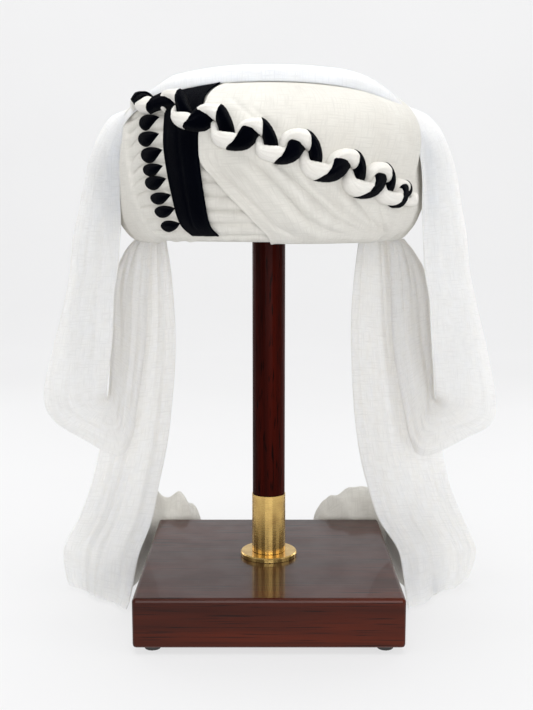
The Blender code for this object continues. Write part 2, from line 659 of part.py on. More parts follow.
def tail(name, side, table, mat):
    """Pleated end of the cloth that hangs to the floor beside the base."""
    beyond = LOOP_REACH - BASE_HALF

    def place(x, y, z):
        spot = BASE_HALF + TAIL_CLEARANCE + x * beyond
        return Vector((side * spot, y * TAIL_DEPTH, z * RING_BOTTOM))

    def relief(u, v, width):
        fade = math.sin(math.pi * v) ** 0.5
        depth = PLEAT_DEPTH * (1.0 - 0.55 * u)
        return depth * fade * math.sin(FULL_TURN * PLEATS * v)
    return ribbon(name, table, place, 14, 14, relief, mat)


def heap(name, side, table, mat):
    """Soft cloth end on the floor round a back corner of the base."""
    rows = [(float(k),) + row for k, row in enumerate(table)]
    last = len(table) - 1
    steps = 13
    sections = []
    for k in range(steps + 1):
        t = last * k / steps
        x, y, width, height = [smooth_row(rows, t, column) for column in range(1, 5)]
        after = [smooth_row(rows, min(t + 0.2, last), column) for column in (1, 2)]
        before = [smooth_row(rows, max(t - 0.2, 0.0), column) for column in (1, 2)]
        ahead = Vector((after[0] - before[0], after[1] - before[1], 0.0)).normalized()
        out = Vector((ahead.y, -ahead.x, 0.0))
        reach = BASE_HALF * min(x, 1.0) + (LOOP_REACH - BASE_HALF) * max(x - 1.0, 0.0)
        spot = Vector((reach, y * BASE_HALF, GAP * 2))
        half = HEAP_WIDTH / 2 * width
        tall = HEAP_HEIGHT * height
        section = []
        for degrees in (0, 25, 55, 90, 125, 155, 180, 215, 325):
            a = math.radians(degrees)
            up = 0.30 + 0.70 * max(math.sin(a), 0.0) if degrees <= 180 else 0.0
            wide = math.copysign(abs(math.cos(a)) ** 0.75, math.cos(a))
            point = spot + out * half * wide + Vector((0.0, 0.0, tall * up))
            section.append(Vector((side * point.x, point.y, point.z)))
        if side > 0:
            section.reverse()
        sections.append(section)
    return loft(name, sections, mat)


def main():
    """Build every piece."""
    for obj in list(bpy.data.objects):
        bpy.data.objects.remove(obj)
    wood = material("dark_wood", (0.075, 0.014, 0.010), 0.22)
    pole_wood = material("pole_wood", (0.085, 0.018, 0.012), 0.28)
    brass = material("brass", (0.62, 0.44, 0.16), 0.28, 1.0)
    rubber = material("dark_foot", (0.020, 0.018, 0.018), 0.70)
    plain = material("rest_board", (0.45, 0.32, 0.20), 0.70)
    white = material("white_cotton", (0.86, 0.84, 0.80), 0.90)
    plait = material("plait_cotton", (0.86, 0.84, 0.80), 0.90)
    black = material("black_cotton", (0.006, 0.007, 0.016), 0.85)
    stand(wood, pole_wood, brass, rubber, plain)
    wound_body(white)
    crown_cloth(white)
    skin_strip("black_band", BAND, 3, BAND_CLOTH, black)
    skin_strip("front_panel", PANEL, 16, PANEL_CLOTH, white, panel_relief)
    for index, (angle, height, half) in enumerate(LEAVES, start=1):
        leaf("border_leaf_%d" % index, angle, height, half, black)
    braid(plait, black)
    crown_drape(white)
    loop("loop_left", -1, LOOP_LEFT, white)
    loop("loop_right", 1, LOOP_RIGHT, white)
    tail("tail_left", -1, TAIL_LEFT, white)
    tail("tail_right", 1, TAIL_RIGHT, white)
    heap("tail_end_left", -1, HEAP_LEFT, white)
    heap("tail_end_right", 1, HEAP_RIGHT, white)


main()
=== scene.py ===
"""Tied white turban with a black band and a plait, on its wood stand with a brass foot.

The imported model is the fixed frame. The stand keeps its meshes and gets its finishes here; every piece
of cloth is modelled anew, at the same place and size, with its folds, weave and soft edges.
"""
from __future__ import annotations

import bpy
import logging
import math
from dataclasses import dataclass, field
from enum import Enum
from typing import Callable, Sequence

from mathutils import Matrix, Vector, noise


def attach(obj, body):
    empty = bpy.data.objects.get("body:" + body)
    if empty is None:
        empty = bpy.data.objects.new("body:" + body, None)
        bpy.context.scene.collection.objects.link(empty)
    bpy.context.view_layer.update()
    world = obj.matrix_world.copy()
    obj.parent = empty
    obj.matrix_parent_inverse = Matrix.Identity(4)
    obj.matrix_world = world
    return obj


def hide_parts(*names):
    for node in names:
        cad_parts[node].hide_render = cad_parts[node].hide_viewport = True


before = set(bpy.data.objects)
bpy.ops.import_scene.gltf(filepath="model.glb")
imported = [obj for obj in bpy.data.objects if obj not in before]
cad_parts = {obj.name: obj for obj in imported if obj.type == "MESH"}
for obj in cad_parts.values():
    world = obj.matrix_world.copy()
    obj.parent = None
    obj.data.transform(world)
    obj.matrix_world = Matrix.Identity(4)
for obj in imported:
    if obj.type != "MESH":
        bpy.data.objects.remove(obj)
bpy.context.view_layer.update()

LOG = logging.getLogger("turban")
FULL_TURN = 2 * math.pi
ROOT = "root"


class Slot(Enum):
    """Material slots of the record that the cloth uses."""

    WHITE_COTTON = "white_cotton"
    PLAIT_COTTON = "plait_cotton"
    BLACK_COTTON = "black_cotton"


class Wrap(Enum):
    """How a grid of cloth closes on itself."""

    OPEN = "open"
    TUBE = "tube"
    RING = "ring"


def smooth_step(low: float, high: float, value: float) -> float:
    """Eased 0 to 1 between low and high.

    Args:
        low: Value that gives 0.
        high: Value that gives 1.
        value: Value to ease.

    Returns:
        The eased share.
    """
    f = min(max((value - low) / (high - low), 0.0), 1.0)
    return f * f * (3 - 2 * f)


def table_value(table: Sequence[tuple], x: float, column: int) -> float:
    """Value of a table column at x, eased between the rows.

    Args:
        table: Rows whose first column rises.
        x: Place in the first column.
        column: Column to read.

    Returns:
        The eased value.
    """
    if x <= table[0][0]:
        return table[0][column]
    for k in range(len(table) - 1):
        x0, x1 = table[k][0], table[k + 1][0]
        if x <= x1:
            f = (x - x0) / (x1 - x0)
            y0, y1 = table[k][column], table[k + 1][column]
            before = table[max(k - 1, 0)]
            after = table[min(k + 2, len(table) - 1)]
            d0 = (y1 - before[column]) / (x1 - before[0]) * (x1 - x0)
            d1 = (after[column] - y0) / (after[0] - x0) * (x1 - x0)
            return ((2 * f ** 3 - 3 * f ** 2 + 1) * y0 + (f ** 3 - 2 * f ** 2 + f) * d0
                    + (3 * f ** 2 - 2 * f ** 3) * y1 + (f ** 3 - f ** 2) * d1)
    return table[-1][column]


def row_at(table: Sequence[tuple], t: float) -> list[float]:
    """Whole row of a table at t, eased between the rows, which count from 0.

    Args:
        table: Rows of values.
        t: Row, with its fraction.

    Returns:
        The eased values.
    """
    rows = [(float(k), *row) for k, row in enumerate(table)]
    return [table_value(rows, t, column) for column in range(1, len(rows[0]))]


def pillow(phase: float) -> float:
    """Round ridge between two sharp creases, 0 at whole numbers and 1 halfway."""
    f = phase - math.floor(phase)
    return math.sqrt(max(0.0, 1.0 - (2.0 * f - 1.0) ** 2))


def bell(value: float, width: float) -> float:
    """Bell curve, 1 at 0."""
    return math.exp(-(value / width) ** 2)


def noise_at(wave: tuple, v: float, u: float, side: int) -> float:
    """Noise on a cloth, from about -1 to 1.

    Args:
        wave: Scale across, scale along and seed.
        v: Share across the cloth.
        u: Share or row along the cloth.
        side: -1 left, 1 right.

    Returns:
        The noise.
    """
    across, along, seed = wave
    return noise.noise(Vector((v * across, u * along, seed * side)))


def edge_frame(edges: list[tuple[Vector, Vector]], k: int) -> tuple[Vector, Vector, Vector]:
    """Row of a hanging cloth.

    Args:
        edges: Inner and outer edge points of each row.
        k: Number of the row.

    Returns:
        The row's inner point, its outer point and the cloth's normal there.
    """
    inner, outer = edges[k]
    near, past = edges[min(k + 1, len(edges) - 1)], edges[max(k - 1, 0)]
    ahead = (near[0] + near[1]) - (past[0] + past[1])
    return inner, outer, (outer - inner).cross(ahead).normalized()


@dataclass
class RingSkin:
    """The turban's outer skin: an oval ring with a rounded wall, in metres."""

    half_width: float = 0.1305
    half_depth: float = 0.1380
    bottom: float = 0.3300
    height: float = 0.1190
    wall: float = 0.0440
    crown_rim: float = 0.86
    crown_rise: float = 0.0110
    cloth: float = 0.0025
    steps: int = 400
    slope_step: float = 0.01
    search_steps: int = 18
    profile: tuple = (
        (0.545, 0.000), (0.318, 0.025), (0.136, 0.092), (0.034, 0.185), (0.000, 0.319), (0.000, 0.521),
        (0.034, 0.681), (0.136, 0.807), (0.318, 0.908), (0.591, 0.971), (0.909, 1.000),
    )
    inner_wall: tuple = ((1.000, 0.930), (1.000, 0.620), (1.000, 0.340), (1.000, 0.110), (0.840, 0.012))
    length: float = 0.0
    samples: list = field(default_factory=list)

    def __post_init__(self) -> None:
        """Measures the wall profile and samples it."""
        rows: list[tuple] = []
        total = 0.0
        last = None
        for inset, height in self.profile:
            spot = (inset * self.wall, height * self.height)
            if last:
                total += math.hypot(spot[0] - last[0], spot[1] - last[1])
            rows.append((total, *spot))
            last = spot
        self.length = total
        for k in range(self.steps + 1):
            x = total * k / self.steps
            self.samples.append((table_value(rows, x, 1), table_value(rows, x, 2)))

    @property
    def top(self) -> float:
        """Height of the ring's top."""
        return self.bottom + self.height

    def wall_at(self, length: float) -> tuple[float, float]:
        """Inset and height of the wall at a length along its profile.

        Args:
            length: Length from the wall's foot.

        Returns:
            The inset from the outer oval and the height over the ring's bottom.
        """
        x = min(max(length / self.length, 0.0), 1.0) * self.steps
        k = min(int(x), self.steps - 1)
        f = x - k
        a, b = self.samples[k], self.samples[k + 1]
        return a[0] + (b[0] - a[0]) * f, a[1] + (b[1] - a[1]) * f

    def length_at(self, share: float) -> float:
        """Length along the wall where it reaches a share of the ring's height."""
        target = share * self.height
        for k, (_, height) in enumerate(self.samples):
            if height >= target:
                return self.length * k / self.steps
        return self.length

    def ring_point(self, angle_deg: float, inset: float, height: float) -> tuple[Vector, Vector]:
        """Point inside the outer oval.

        Args:
            angle_deg: Angle round the ring, -90 at the front.
            inset: Distance inside the oval.
            height: Height over the ring's bottom.

        Returns:
            The point and the outward direction.
        """
        a = math.radians(angle_deg)
        c, s = math.cos(a), math.sin(a)
        out = Vector((c * self.half_depth, s * self.half_width, 0.0)).normalized()
        spot = Vector((c * self.half_width, s * self.half_depth, self.bottom + height))
        return spot - out * inset, out

    def point(self, angle_deg: float, length: float, lift: float) -> tuple[Vector, Vector]:
        """Point above the skin.

        Args:
            angle_deg: Angle round the ring, -90 at the front.
            length: Length up the wall's profile.
            lift: Distance above the skin.

        Returns:
            The point and the skin's normal.
        """
        length = min(max(length, 0.0), self.length)
        inset, height = self.wall_at(length)
        step = self.length * self.slope_step
        a = self.wall_at(length - step)
        b = self.wall_at(length + step)
        slope_in, slope_up = b[0] - a[0], b[1] - a[1]
        size = math.hypot(slope_in, slope_up)
        spot, out = self.ring_point(angle_deg, inset, height)
        normal = (out * slope_up + Vector((0.0, 0.0, 1.0)) * slope_in) / size
        return spot + normal * lift, normal

    def top_height(self, x: float, y: float) -> float:
        """Highest skin of the ring or the crown over a plan point."""
        low, high = 0.0, self.half_width * 0.99
        for _ in range(self.search_steps):
            mid = (low + high) / 2
            inside = (x / (self.half_width - mid)) ** 2 + (y / (self.half_depth - mid)) ** 2 < 1.0
            low, high = (mid, high) if inside else (low, mid)
        over = [s for s in self.samples if s[1] > self.height * 0.5]
        level = self.top
        if low < over[-1][0]:
            level = self.bottom + min((s for s in over if s[0] >= low), key=lambda s: s[0])[1]
        rim = self.crown_rim * self.wall
        u = (x / (self.half_width - rim)) ** 2 + (y / (self.half_depth - rim)) ** 2
        if u < 1.0:
            level = max(level, self.top + self.cloth + self.crown_rise * (1.0 - u))
        return level


@dataclass(frozen=True)
class FoldLine:
    """A fold drawn on the ring's skin: its (angle, height share) points, depth and width in metres."""

    points: tuple
    depth: float
    width: float
    skew: float = 1.0

    def path(self, skin: RingSkin) -> list[tuple[float, float]]:
        """The fold's points as metres round and up the skin."""
        return [(math.radians(a) * skin.half_depth, skin.length_at(h)) for a, h in self.points]


class FoldField:
    """Relief of several folds on the skin. Each rises from its first point and sinks toward its last."""

    reach = 3.0
    rise_share = 0.22
    sink_share = 0.12
    last_height = 0.35

    def __init__(self, skin: RingSkin, folds: Sequence[FoldLine]) -> None:
        """Keeps each fold's path in metres."""
        self.skin = skin
        self.folds = [(fold, fold.path(skin)) for fold in folds]

    def relief(self, angle_deg: float, length: float) -> float:
        """Height of all folds at a place on the skin.

        Args:
            angle_deg: Angle round the ring.
            length: Length up the wall.

        Returns:
            Height in metres, negative in a valley.
        """
        x, y = math.radians(angle_deg) * self.skin.half_depth, length
        total = 0.0
        for fold, path in self.folds:
            best = None
            count = len(path) - 1
            for k in range(count):
                (x0, y0), (x1, y1) = path[k], path[k + 1]
                dx, dy = x1 - x0, y1 - y0
                f = min(max(((x - x0) * dx + (y - y0) * dy) / (dx * dx + dy * dy), 0.0), 1.0)
                gap_x, gap_y = x - x0 - dx * f, y - y0 - dy * f
                distance = math.hypot(gap_x, gap_y)
                if best is None or distance < best[0]:
                    side = dx * gap_y - dy * gap_x
                    best = (distance, (k + f) / count, side)
            width = fold.width * (fold.skew if best[2] > 0 else 1.0)
            if best[0] < width * self.reach:
                ends = min(1.0, best[1] / self.rise_share,
                           (1.0 - best[1]) / self.sink_share + self.last_height)
                total += fold.depth * bell(best[0], width) * max(ends, 0.0)
        return total


class ClothBuilder:
    """Makes pieces of cloth from grids of points."""

    @staticmethod
    def measure(points: list[list[Vector]]) -> tuple[list[float], list[float]]:
        """Lengths across and along a grid.

        Args:
            points: Rows of points.

        Returns:
            The mean lengths up to each column and up to each row.
        """
        rows, cols = len(points), len(points[0])
        across, along = [0.0], [0.0]
        for c in range(1, cols):
            step = sum((row[c] - row[c - 1]).length for row in points) / rows
            across.append(across[-1] + step)
        for r in range(1, rows):
            step = sum((points[r][c] - points[r - 1][c]).length for c in range(cols)) / cols
            along.append(along[-1] + step)
        return across, along

    @classmethod
    def grid(cls, name: str, points: list[list[Vector]], wrap: Wrap = Wrap.OPEN) -> bpy.types.Object:
        """Shapes a grid primitive into cloth, with a UV map in metres along its threads.

        Args:
            name: Name of the piece.
            points: Rows of points.
            wrap: How the grid closes on itself.

        Returns:
            The new piece.
        """
        rows, cols = len(points) - 1, len(points[0]) - 1
        bpy.ops.object.select_all(action="DESELECT")
        bpy.ops.mesh.primitive_grid_add(x_subdivisions=cols, y_subdivisions=rows, size=1.0)
        piece = bpy.context.active_object
        piece.name = name
        piece.data.name = name
        across, along = cls.measure(points)
        LOG.info("%s: %.3f m across, %.3f m along", name, across[-1], along[-1])
        mesh = piece.data
        places = [(round((v.co.x + 0.5) * cols), round((v.co.y + 0.5) * rows)) for v in mesh.vertices]
        threads = mesh.uv_layers.active or mesh.uv_layers.new(name="Threads")
        threads.name = "Threads"
        for loop in mesh.loops:
            c, r = places[loop.vertex_index]
            threads.data[loop.index].uv = (across[c], along[r])
        for vert, (c, r) in zip(mesh.vertices, places):
            vert.co = points[r][c]
        if wrap is not Wrap.OPEN:
            cls.in_edit_mode(piece, lambda: bpy.ops.mesh.remove_doubles(threshold=1e-6))
            cls.in_edit_mode(piece, lambda: bpy.ops.mesh.normals_make_consistent(inside=False))
        bpy.ops.object.shade_smooth()
        return piece

    @staticmethod
    def in_edit_mode(piece: bpy.types.Object, action: Callable[[], object]) -> None:
        """Runs an operator on the whole of a piece in edit mode."""
        bpy.ops.object.select_all(action="DESELECT")
        piece.select_set(True)
        bpy.context.view_layer.objects.active = piece
        bpy.ops.object.mode_set(mode="EDIT")
        bpy.ops.mesh.select_all(action="SELECT")
        action()
        bpy.ops.object.mode_set(mode="OBJECT")

    @staticmethod
    def finish(piece: bpy.types.Object, thickness: float, levels: int = 1, offset: float = 0.0) -> None:
        """Gives a piece its cloth thickness and smooths it.

        Args:
            piece: Piece to finish.
            thickness: Cloth thickness, or 0 for a piece that is closed already.
            levels: Subdivision levels.
            offset: Which side the thickness goes to, as in the Solidify modifier.
        """
        bpy.ops.object.select_all(action="DESELECT")
        piece.select_set(True)
        bpy.context.view_layer.objects.active = piece
        if thickness:
            wall = piece.modifiers.new("Cloth", "SOLIDIFY")
            wall.thickness = thickness
            wall.offset = offset
            bpy.ops.object.modifier_apply(modifier="Cloth")
        if levels:
            soft = piece.modifiers.new("Soft", "SUBSURF")
            soft.levels = levels
            soft.render_levels = levels
            bpy.ops.object.modifier_apply(modifier="Soft")
        bpy.ops.object.shade_smooth()

    @staticmethod
    def join(name: str, pieces: list[bpy.types.Object]) -> bpy.types.Object:
        """Joins several pieces into one.

        Args:
            name: Name of the joined piece.
            pieces: Pieces to join.

        Returns:
            The joined piece.
        """
        bpy.ops.object.select_all(action="DESELECT")
        for piece in pieces:
            piece.select_set(True)
        bpy.context.view_layer.objects.active = pieces[0]
        bpy.ops.object.join()
        pieces[0].name = name
        pieces[0].data.name = name
        return pieces[0]

    @staticmethod
    def place(piece: bpy.types.Object, slot: Slot, finish: bpy.types.Material, *nodes: str) -> None:
        """Gives a piece its finish and its place in the frame.

        Args:
            piece: Piece to place.
            slot: Material slot of the record; not used.
            finish: Material.
            nodes: CAD nodes that the piece stands for.
        """
        piece.data.materials.clear()
        piece.data.materials.append(finish)
        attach(piece, ROOT)
        if nodes:
            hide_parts(*nodes)
        LOG.info("%s: %d faces", piece.name, len(piece.data.polygons))


class EffectGroups:
    """Shader node groups that several finishes share."""

    slub_stretches = ((70.0, 800.0, 1.0), (800.0, 70.0, 1.0))
    pore_stretch = (6.0, 14.0, 14.0)
    pore_span = (0.56, 0.70)

    def __init__(self) -> None:
        """Builds each group once."""
        self.weave = self.make_weave()
        self.grain = self.make_grain()
        self.mottle = self.make_mottle()

    @staticmethod
    def new_group(name: str, inputs: list[tuple], outputs: list[tuple]) -> bpy.types.ShaderNodeTree:
        """New node group with named sockets.

        Args:
            name: Name of the group.
            inputs: Name, socket type and value of each input.
            outputs: Name and socket type of each output.

        Returns:
            The group, with its input and output nodes.
        """
        group = bpy.data.node_groups.new(name, "ShaderNodeTree")
        for label, kind, value in inputs:
            socket = group.interface.new_socket(label, in_out="INPUT", socket_type=kind)
            if value is not None:
                socket.default_value = value
        for label, kind in outputs:
            group.interface.new_socket(label, in_out="OUTPUT", socket_type=kind)
        group.nodes.new("NodeGroupInput").name = "Group Input"
        group.nodes.new("NodeGroupOutput").name = "Group Output"
        return group

    @staticmethod
    def math_node(tree: bpy.types.NodeTree, operation: str, a: object, b: object = None) -> object:
        """Math node fed by sockets or numbers.

        Args:
            tree: Node tree.
            operation: Math operation.
            a: First socket or number.
            b: Second socket or number.

        Returns:
            The output socket.
        """
        node = tree.nodes.new("ShaderNodeMath")
        node.operation = operation
        for index, value in enumerate((a, b)):
            if value is None:
                continue
            if isinstance(value, (int, float)):
                node.inputs[index].default_value = value
            else:
                tree.links.new(value, node.inputs[index])
        return node.outputs[0]

    @staticmethod
    def stretch_node(tree: bpy.types.NodeTree, place: object, scale: object) -> object:
        """Place stretched along its axes by a socket or by three numbers.

        Args:
            tree: Node tree.
            place: Socket of the place.
            scale: Socket or numbers to multiply by.

        Returns:
            The output socket.
        """
        node = tree.nodes.new("ShaderNodeVectorMath")
        node.operation = "MULTIPLY"
        tree.links.new(place, node.inputs[0])
        if isinstance(scale, tuple):
            node.inputs[1].default_value = scale
        else:
            tree.links.new(scale, node.inputs[1])
        return node.outputs[0]

    @staticmethod
    def noise_node(tree: bpy.types.NodeTree, place: object, detail: float,
                   distortion: float = 0.0) -> bpy.types.ShaderNode:
        """Noise texture of scale 1.

        Args:
            tree: Node tree.
            place: Socket of the place.
            detail: Octaves of detail.
            distortion: How much it is distorted.

        Returns:
            The node.
        """
        node = tree.nodes.new("ShaderNodeTexNoise")
        node.inputs["Scale"].default_value = 1.0
        node.inputs["Detail"].default_value = detail
        node.inputs["Distortion"].default_value = distortion
        tree.links.new(place, node.inputs["Vector"])
        return node

    def make_weave(self) -> bpy.types.ShaderNodeTree:
        """Plain weave: crossing threads with slubs, from the piece's UV map in metres."""
        tree = self.new_group(
            "cotton_weave",
            [("Threads", "NodeSocketVector", None), ("Pitch", "NodeSocketFloat", 0.0005),
             ("Slub", "NodeSocketFloat", 0.5)],
            [("Height", "NodeSocketFloat"), ("Tint", "NodeSocketFloat")])
        start, end = tree.nodes["Group Input"], tree.nodes["Group Output"]
        split = tree.nodes.new("ShaderNodeSeparateXYZ")
        tree.links.new(start.outputs["Threads"], split.inputs[0])
        turn = self.math_node(tree, "DIVIDE", math.pi, start.outputs["Pitch"])
        waves = []
        for axis in ("X", "Y"):
            angle = self.math_node(tree, "MULTIPLY", split.outputs[axis], turn)
            waves.append(self.math_node(tree, "ABSOLUTE", self.math_node(tree, "SINE", angle)))
        cross = self.math_node(tree, "MULTIPLY", *waves)
        slubs = []
        for stretch in self.slub_stretches:
            place = self.stretch_node(tree, start.outputs["Threads"], stretch)
            slubs.append(self.noise_node(tree, place, 1.5).outputs["Fac"])
        slub = self.math_node(tree, "MULTIPLY", self.math_node(tree, "MAXIMUM", *slubs), start.outputs["Slub"])
        tree.links.new(self.math_node(tree, "ADD", cross, slub), end.inputs["Height"])
        tree.links.new(slub, end.inputs["Tint"])
        return tree

    def make_grain(self) -> bpy.types.ShaderNodeTree:
        """Straight grain with pores, from Object coordinates; Stretch gives its direction."""
        tree = self.new_group(
            "wood_grain",
            [("Place", "NodeSocketVector", None), ("Stretch", "NodeSocketVector", (2.0, 40.0, 40.0))],
            [("Figure", "NodeSocketFloat"), ("Pores", "NodeSocketFloat")])
        start, end = tree.nodes["Group Input"], tree.nodes["Group Output"]
        scaled = self.stretch_node(tree, start.outputs["Place"], start.outputs["Stretch"])
        figure = self.noise_node(tree, scaled, 5.0, 0.6)
        pores = self.noise_node(tree, self.stretch_node(tree, scaled, self.pore_stretch), 2.0)
        pore_share = Finish.spread(tree, pores.outputs["Fac"], self.pore_span, (0.0, 1.0))
        tree.links.new(figure.outputs["Fac"], end.inputs["Figure"])
        tree.links.new(pore_share, end.inputs["Pores"])
        return tree

    def make_mottle(self) -> bpy.types.ShaderNodeTree:
        """Soft uneven patches, from Object coordinates."""
        tree = self.new_group(
            "soft_mottle",
            [("Place", "NodeSocketVector", None), ("Scale", "NodeSocketFloat", 20.0)],
            [("Patch", "NodeSocketFloat")])
        start, end = tree.nodes["Group Input"], tree.nodes["Group Output"]
        patch = self.noise_node(tree, start.outputs["Place"], 3.0)
        tree.links.new(start.outputs["Scale"], patch.inputs["Scale"])
        tree.links.new(patch.outputs["Fac"], end.inputs["Patch"])
        return tree


class Finish:
    """Helpers that every finish uses."""

    @staticmethod
    def start(name: str) -> tuple:
        """New material.

        Args:
            name: Name of the material.

        Returns:
            The material, its tree, its Principled shader and the socket of its Object coordinates.
        """
        mat = bpy.data.materials.new(name)
        mat.use_nodes = True
        place = mat.node_tree.nodes.new("ShaderNodeTexCoord").outputs["Object"]
        return mat, mat.node_tree, mat.node_tree.nodes["Principled BSDF"], place

    @staticmethod
    def group(tree: bpy.types.ShaderNodeTree, group: bpy.types.ShaderNodeTree, **values: object) -> object:
        """Places a shared group.

        Args:
            tree: Material's tree.
            group: Shared node group.
            values: Value or socket for each input.

        Returns:
            The group node.
        """
        node = tree.nodes.new("ShaderNodeGroup")
        node.node_tree = group
        for label, value in values.items():
            if isinstance(value, bpy.types.NodeSocket):
                tree.links.new(value, node.inputs[label])
            else:
                node.inputs[label].default_value = value
        return node

    @staticmethod
    def mix(tree: bpy.types.ShaderNodeTree, share: object, first: object, second: object) -> object:
        """Colour mix.

        Args:
            tree: Material's tree.
            share: Socket that says how much of the second colour shows.
            first: Colour or socket at 0.
            second: Colour or socket at 1.

        Returns:
            The mixed colour's socket.
        """
        node = tree.nodes.new("ShaderNodeMix")
        node.data_type = "RGBA"
        tree.links.new(share, node.inputs["Factor"])
        for label, value in (("A", first), ("B", second)):
            socket = next(s for s in node.inputs if s.name == label and s.type == "RGBA")
            if isinstance(value, bpy.types.NodeSocket):
                tree.links.new(value, socket)
            else:
                socket.default_value = (*value, 1.0)
        return next(s for s in node.outputs if s.type == "RGBA")

    @staticmethod
    def spread(tree: bpy.types.ShaderNodeTree, value: object, span: tuple, result: tuple) -> object:
        """Maps a value from one range to another.

        Args:
            tree: Material's tree.
            value: Socket to map.
            span: Lowest and highest value that comes in.
            result: What those become.

        Returns:
            The mapped socket.
        """
        node = tree.nodes.new("ShaderNodeMapRange")
        tree.links.new(value, node.inputs["Value"])
        node.inputs["From Min"].default_value, node.inputs["From Max"].default_value = span
        node.inputs["To Min"].default_value, node.inputs["To Max"].default_value = result
        return node.outputs["Result"]

    @staticmethod
    def bump(tree: bpy.types.ShaderNodeTree, height: object, distance: float, strength: float,
             under: object = None) -> object:
        """Bump node.

        Args:
            tree: Material's tree.
            height: Height socket.
            distance: Depth in metres.
            strength: Share of it that shows.
            under: Normal of an earlier bump.

        Returns:
            The normal's socket.
        """
        node = tree.nodes.new("ShaderNodeBump")
        node.inputs["Distance"].default_value = distance
        node.inputs["Strength"].default_value = strength
        tree.links.new(height, node.inputs["Height"])
        if under is not None:
            tree.links.new(under, node.inputs["Normal"])
        return node.outputs["Normal"]


@dataclass(frozen=True)
class CottonFinish:
    """Fine plain-woven cotton."""

    name: str
    light: tuple
    shade: tuple
    roughness: float = 0.88
    sheen: float = 0.10
    sheen_roughness: float = 0.6
    specular: float = 0.20
    pitch: float = 0.00055
    slub: float = 1.1
    weave_depth: float = 0.00040
    crumple_depth: float = 0.0009
    crumple_scale: float = 42.0
    patch_scale: float = 16.0
    patch_span: tuple = (0.38, 0.66)
    patch_share: float = 0.8
    thread_span: tuple = (0.50, 0.82)
    thread_share: float = 0.50
    thread_dark: float = 0.84
    weave_top: float = 1.4
    glow: float = 0.0
    glow_radius: tuple = (1.0, 0.93, 0.82)
    glow_depth: float = 0.010

    def build(self, groups: EffectGroups) -> bpy.types.Material:
        """Material of this finish.

        Args:
            groups: Shared node groups.

        Returns:
            The material.
        """
        mat, tree, shader, place = Finish.start(self.name)
        threads = tree.nodes.new("ShaderNodeUVMap")
        threads.uv_map = "Threads"
        weave = Finish.group(tree, groups.weave, Threads=threads.outputs["UV"], Pitch=self.pitch,
                             Slub=self.slub)
        patch = Finish.group(tree, groups.mottle, Place=place, Scale=self.patch_scale)
        crumple = Finish.group(tree, groups.mottle, Place=place, Scale=self.crumple_scale)
        share = Finish.spread(tree, patch.outputs["Patch"], self.patch_span, (0.0, self.patch_share))
        color = Finish.mix(tree, share, self.light, self.shade)
        threads_show = Finish.spread(tree, weave.outputs["Tint"], self.thread_span, (0.0, self.thread_share))
        color = Finish.mix(tree, threads_show, color, tuple(c * self.thread_dark for c in self.shade))
        tree.links.new(color, shader.inputs["Base Color"])
        rough = Finish.spread(tree, weave.outputs["Height"], (0.0, self.weave_top),
                              (self.roughness + 0.06, self.roughness - 0.06))
        tree.links.new(rough, shader.inputs["Roughness"])
        soft = Finish.bump(tree, crumple.outputs["Patch"], self.crumple_depth, 0.6)
        normal = Finish.bump(tree, weave.outputs["Height"], self.weave_depth, 0.7, soft)
        tree.links.new(normal, shader.inputs["Normal"])
        shader.inputs["Sheen Weight"].default_value = self.sheen
        shader.inputs["Sheen Roughness"].default_value = self.sheen_roughness
        shader.inputs["Specular IOR Level"].default_value = self.specular
        shader.inputs["Subsurface Weight"].default_value = self.glow
        shader.inputs["Subsurface Radius"].default_value = self.glow_radius
        shader.inputs["Subsurface Scale"].default_value = self.glow_depth
        return mat


@dataclass(frozen=True)
class VarnishedWood:
    """Dark red-brown wood under gloss varnish."""

    name: str
    dark: tuple
    light: tuple
    stretch: tuple
    roughness: float = 0.34
    specular: float = 0.08
    coat: float = 0.52
    coat_ior: float = 1.3
    coat_roughness: float = 0.08
    figure_span: tuple = (0.33, 0.68)
    pore_dark: float = 0.35
    pore_depth: float = 0.00008
    smear_scale: float = 30.0
    smear_span: tuple = (0.35, 0.65)

    def build(self, groups: EffectGroups) -> bpy.types.Material:
        """Material of this finish.

        Args:
            groups: Shared node groups.

        Returns:
            The material.
        """
        mat, tree, shader, place = Finish.start(self.name)
        grain = Finish.group(tree, groups.grain, Place=place, Stretch=self.stretch)
        figure = Finish.spread(tree, grain.outputs["Figure"], self.figure_span, (0.0, 1.0))
        color = Finish.mix(tree, figure, self.dark, self.light)
        color = Finish.mix(tree, grain.outputs["Pores"], color, tuple(c * self.pore_dark for c in self.dark))
        tree.links.new(color, shader.inputs["Base Color"])
        smear = Finish.group(tree, groups.mottle, Place=place, Scale=self.smear_scale)
        rough = Finish.spread(tree, smear.outputs["Patch"], self.smear_span,
                              (self.roughness - 0.05, self.roughness + 0.08))
        tree.links.new(rough, shader.inputs["Roughness"])
        normal = Finish.bump(tree, grain.outputs["Pores"], -self.pore_depth, 0.5)
        tree.links.new(normal, shader.inputs["Normal"])
        shader.inputs["Specular IOR Level"].default_value = self.specular
        shader.inputs["Coat Weight"].default_value = self.coat
        shader.inputs["Coat Roughness"].default_value = self.coat_roughness
        shader.inputs["Coat IOR"].default_value = self.coat_ior
        return mat


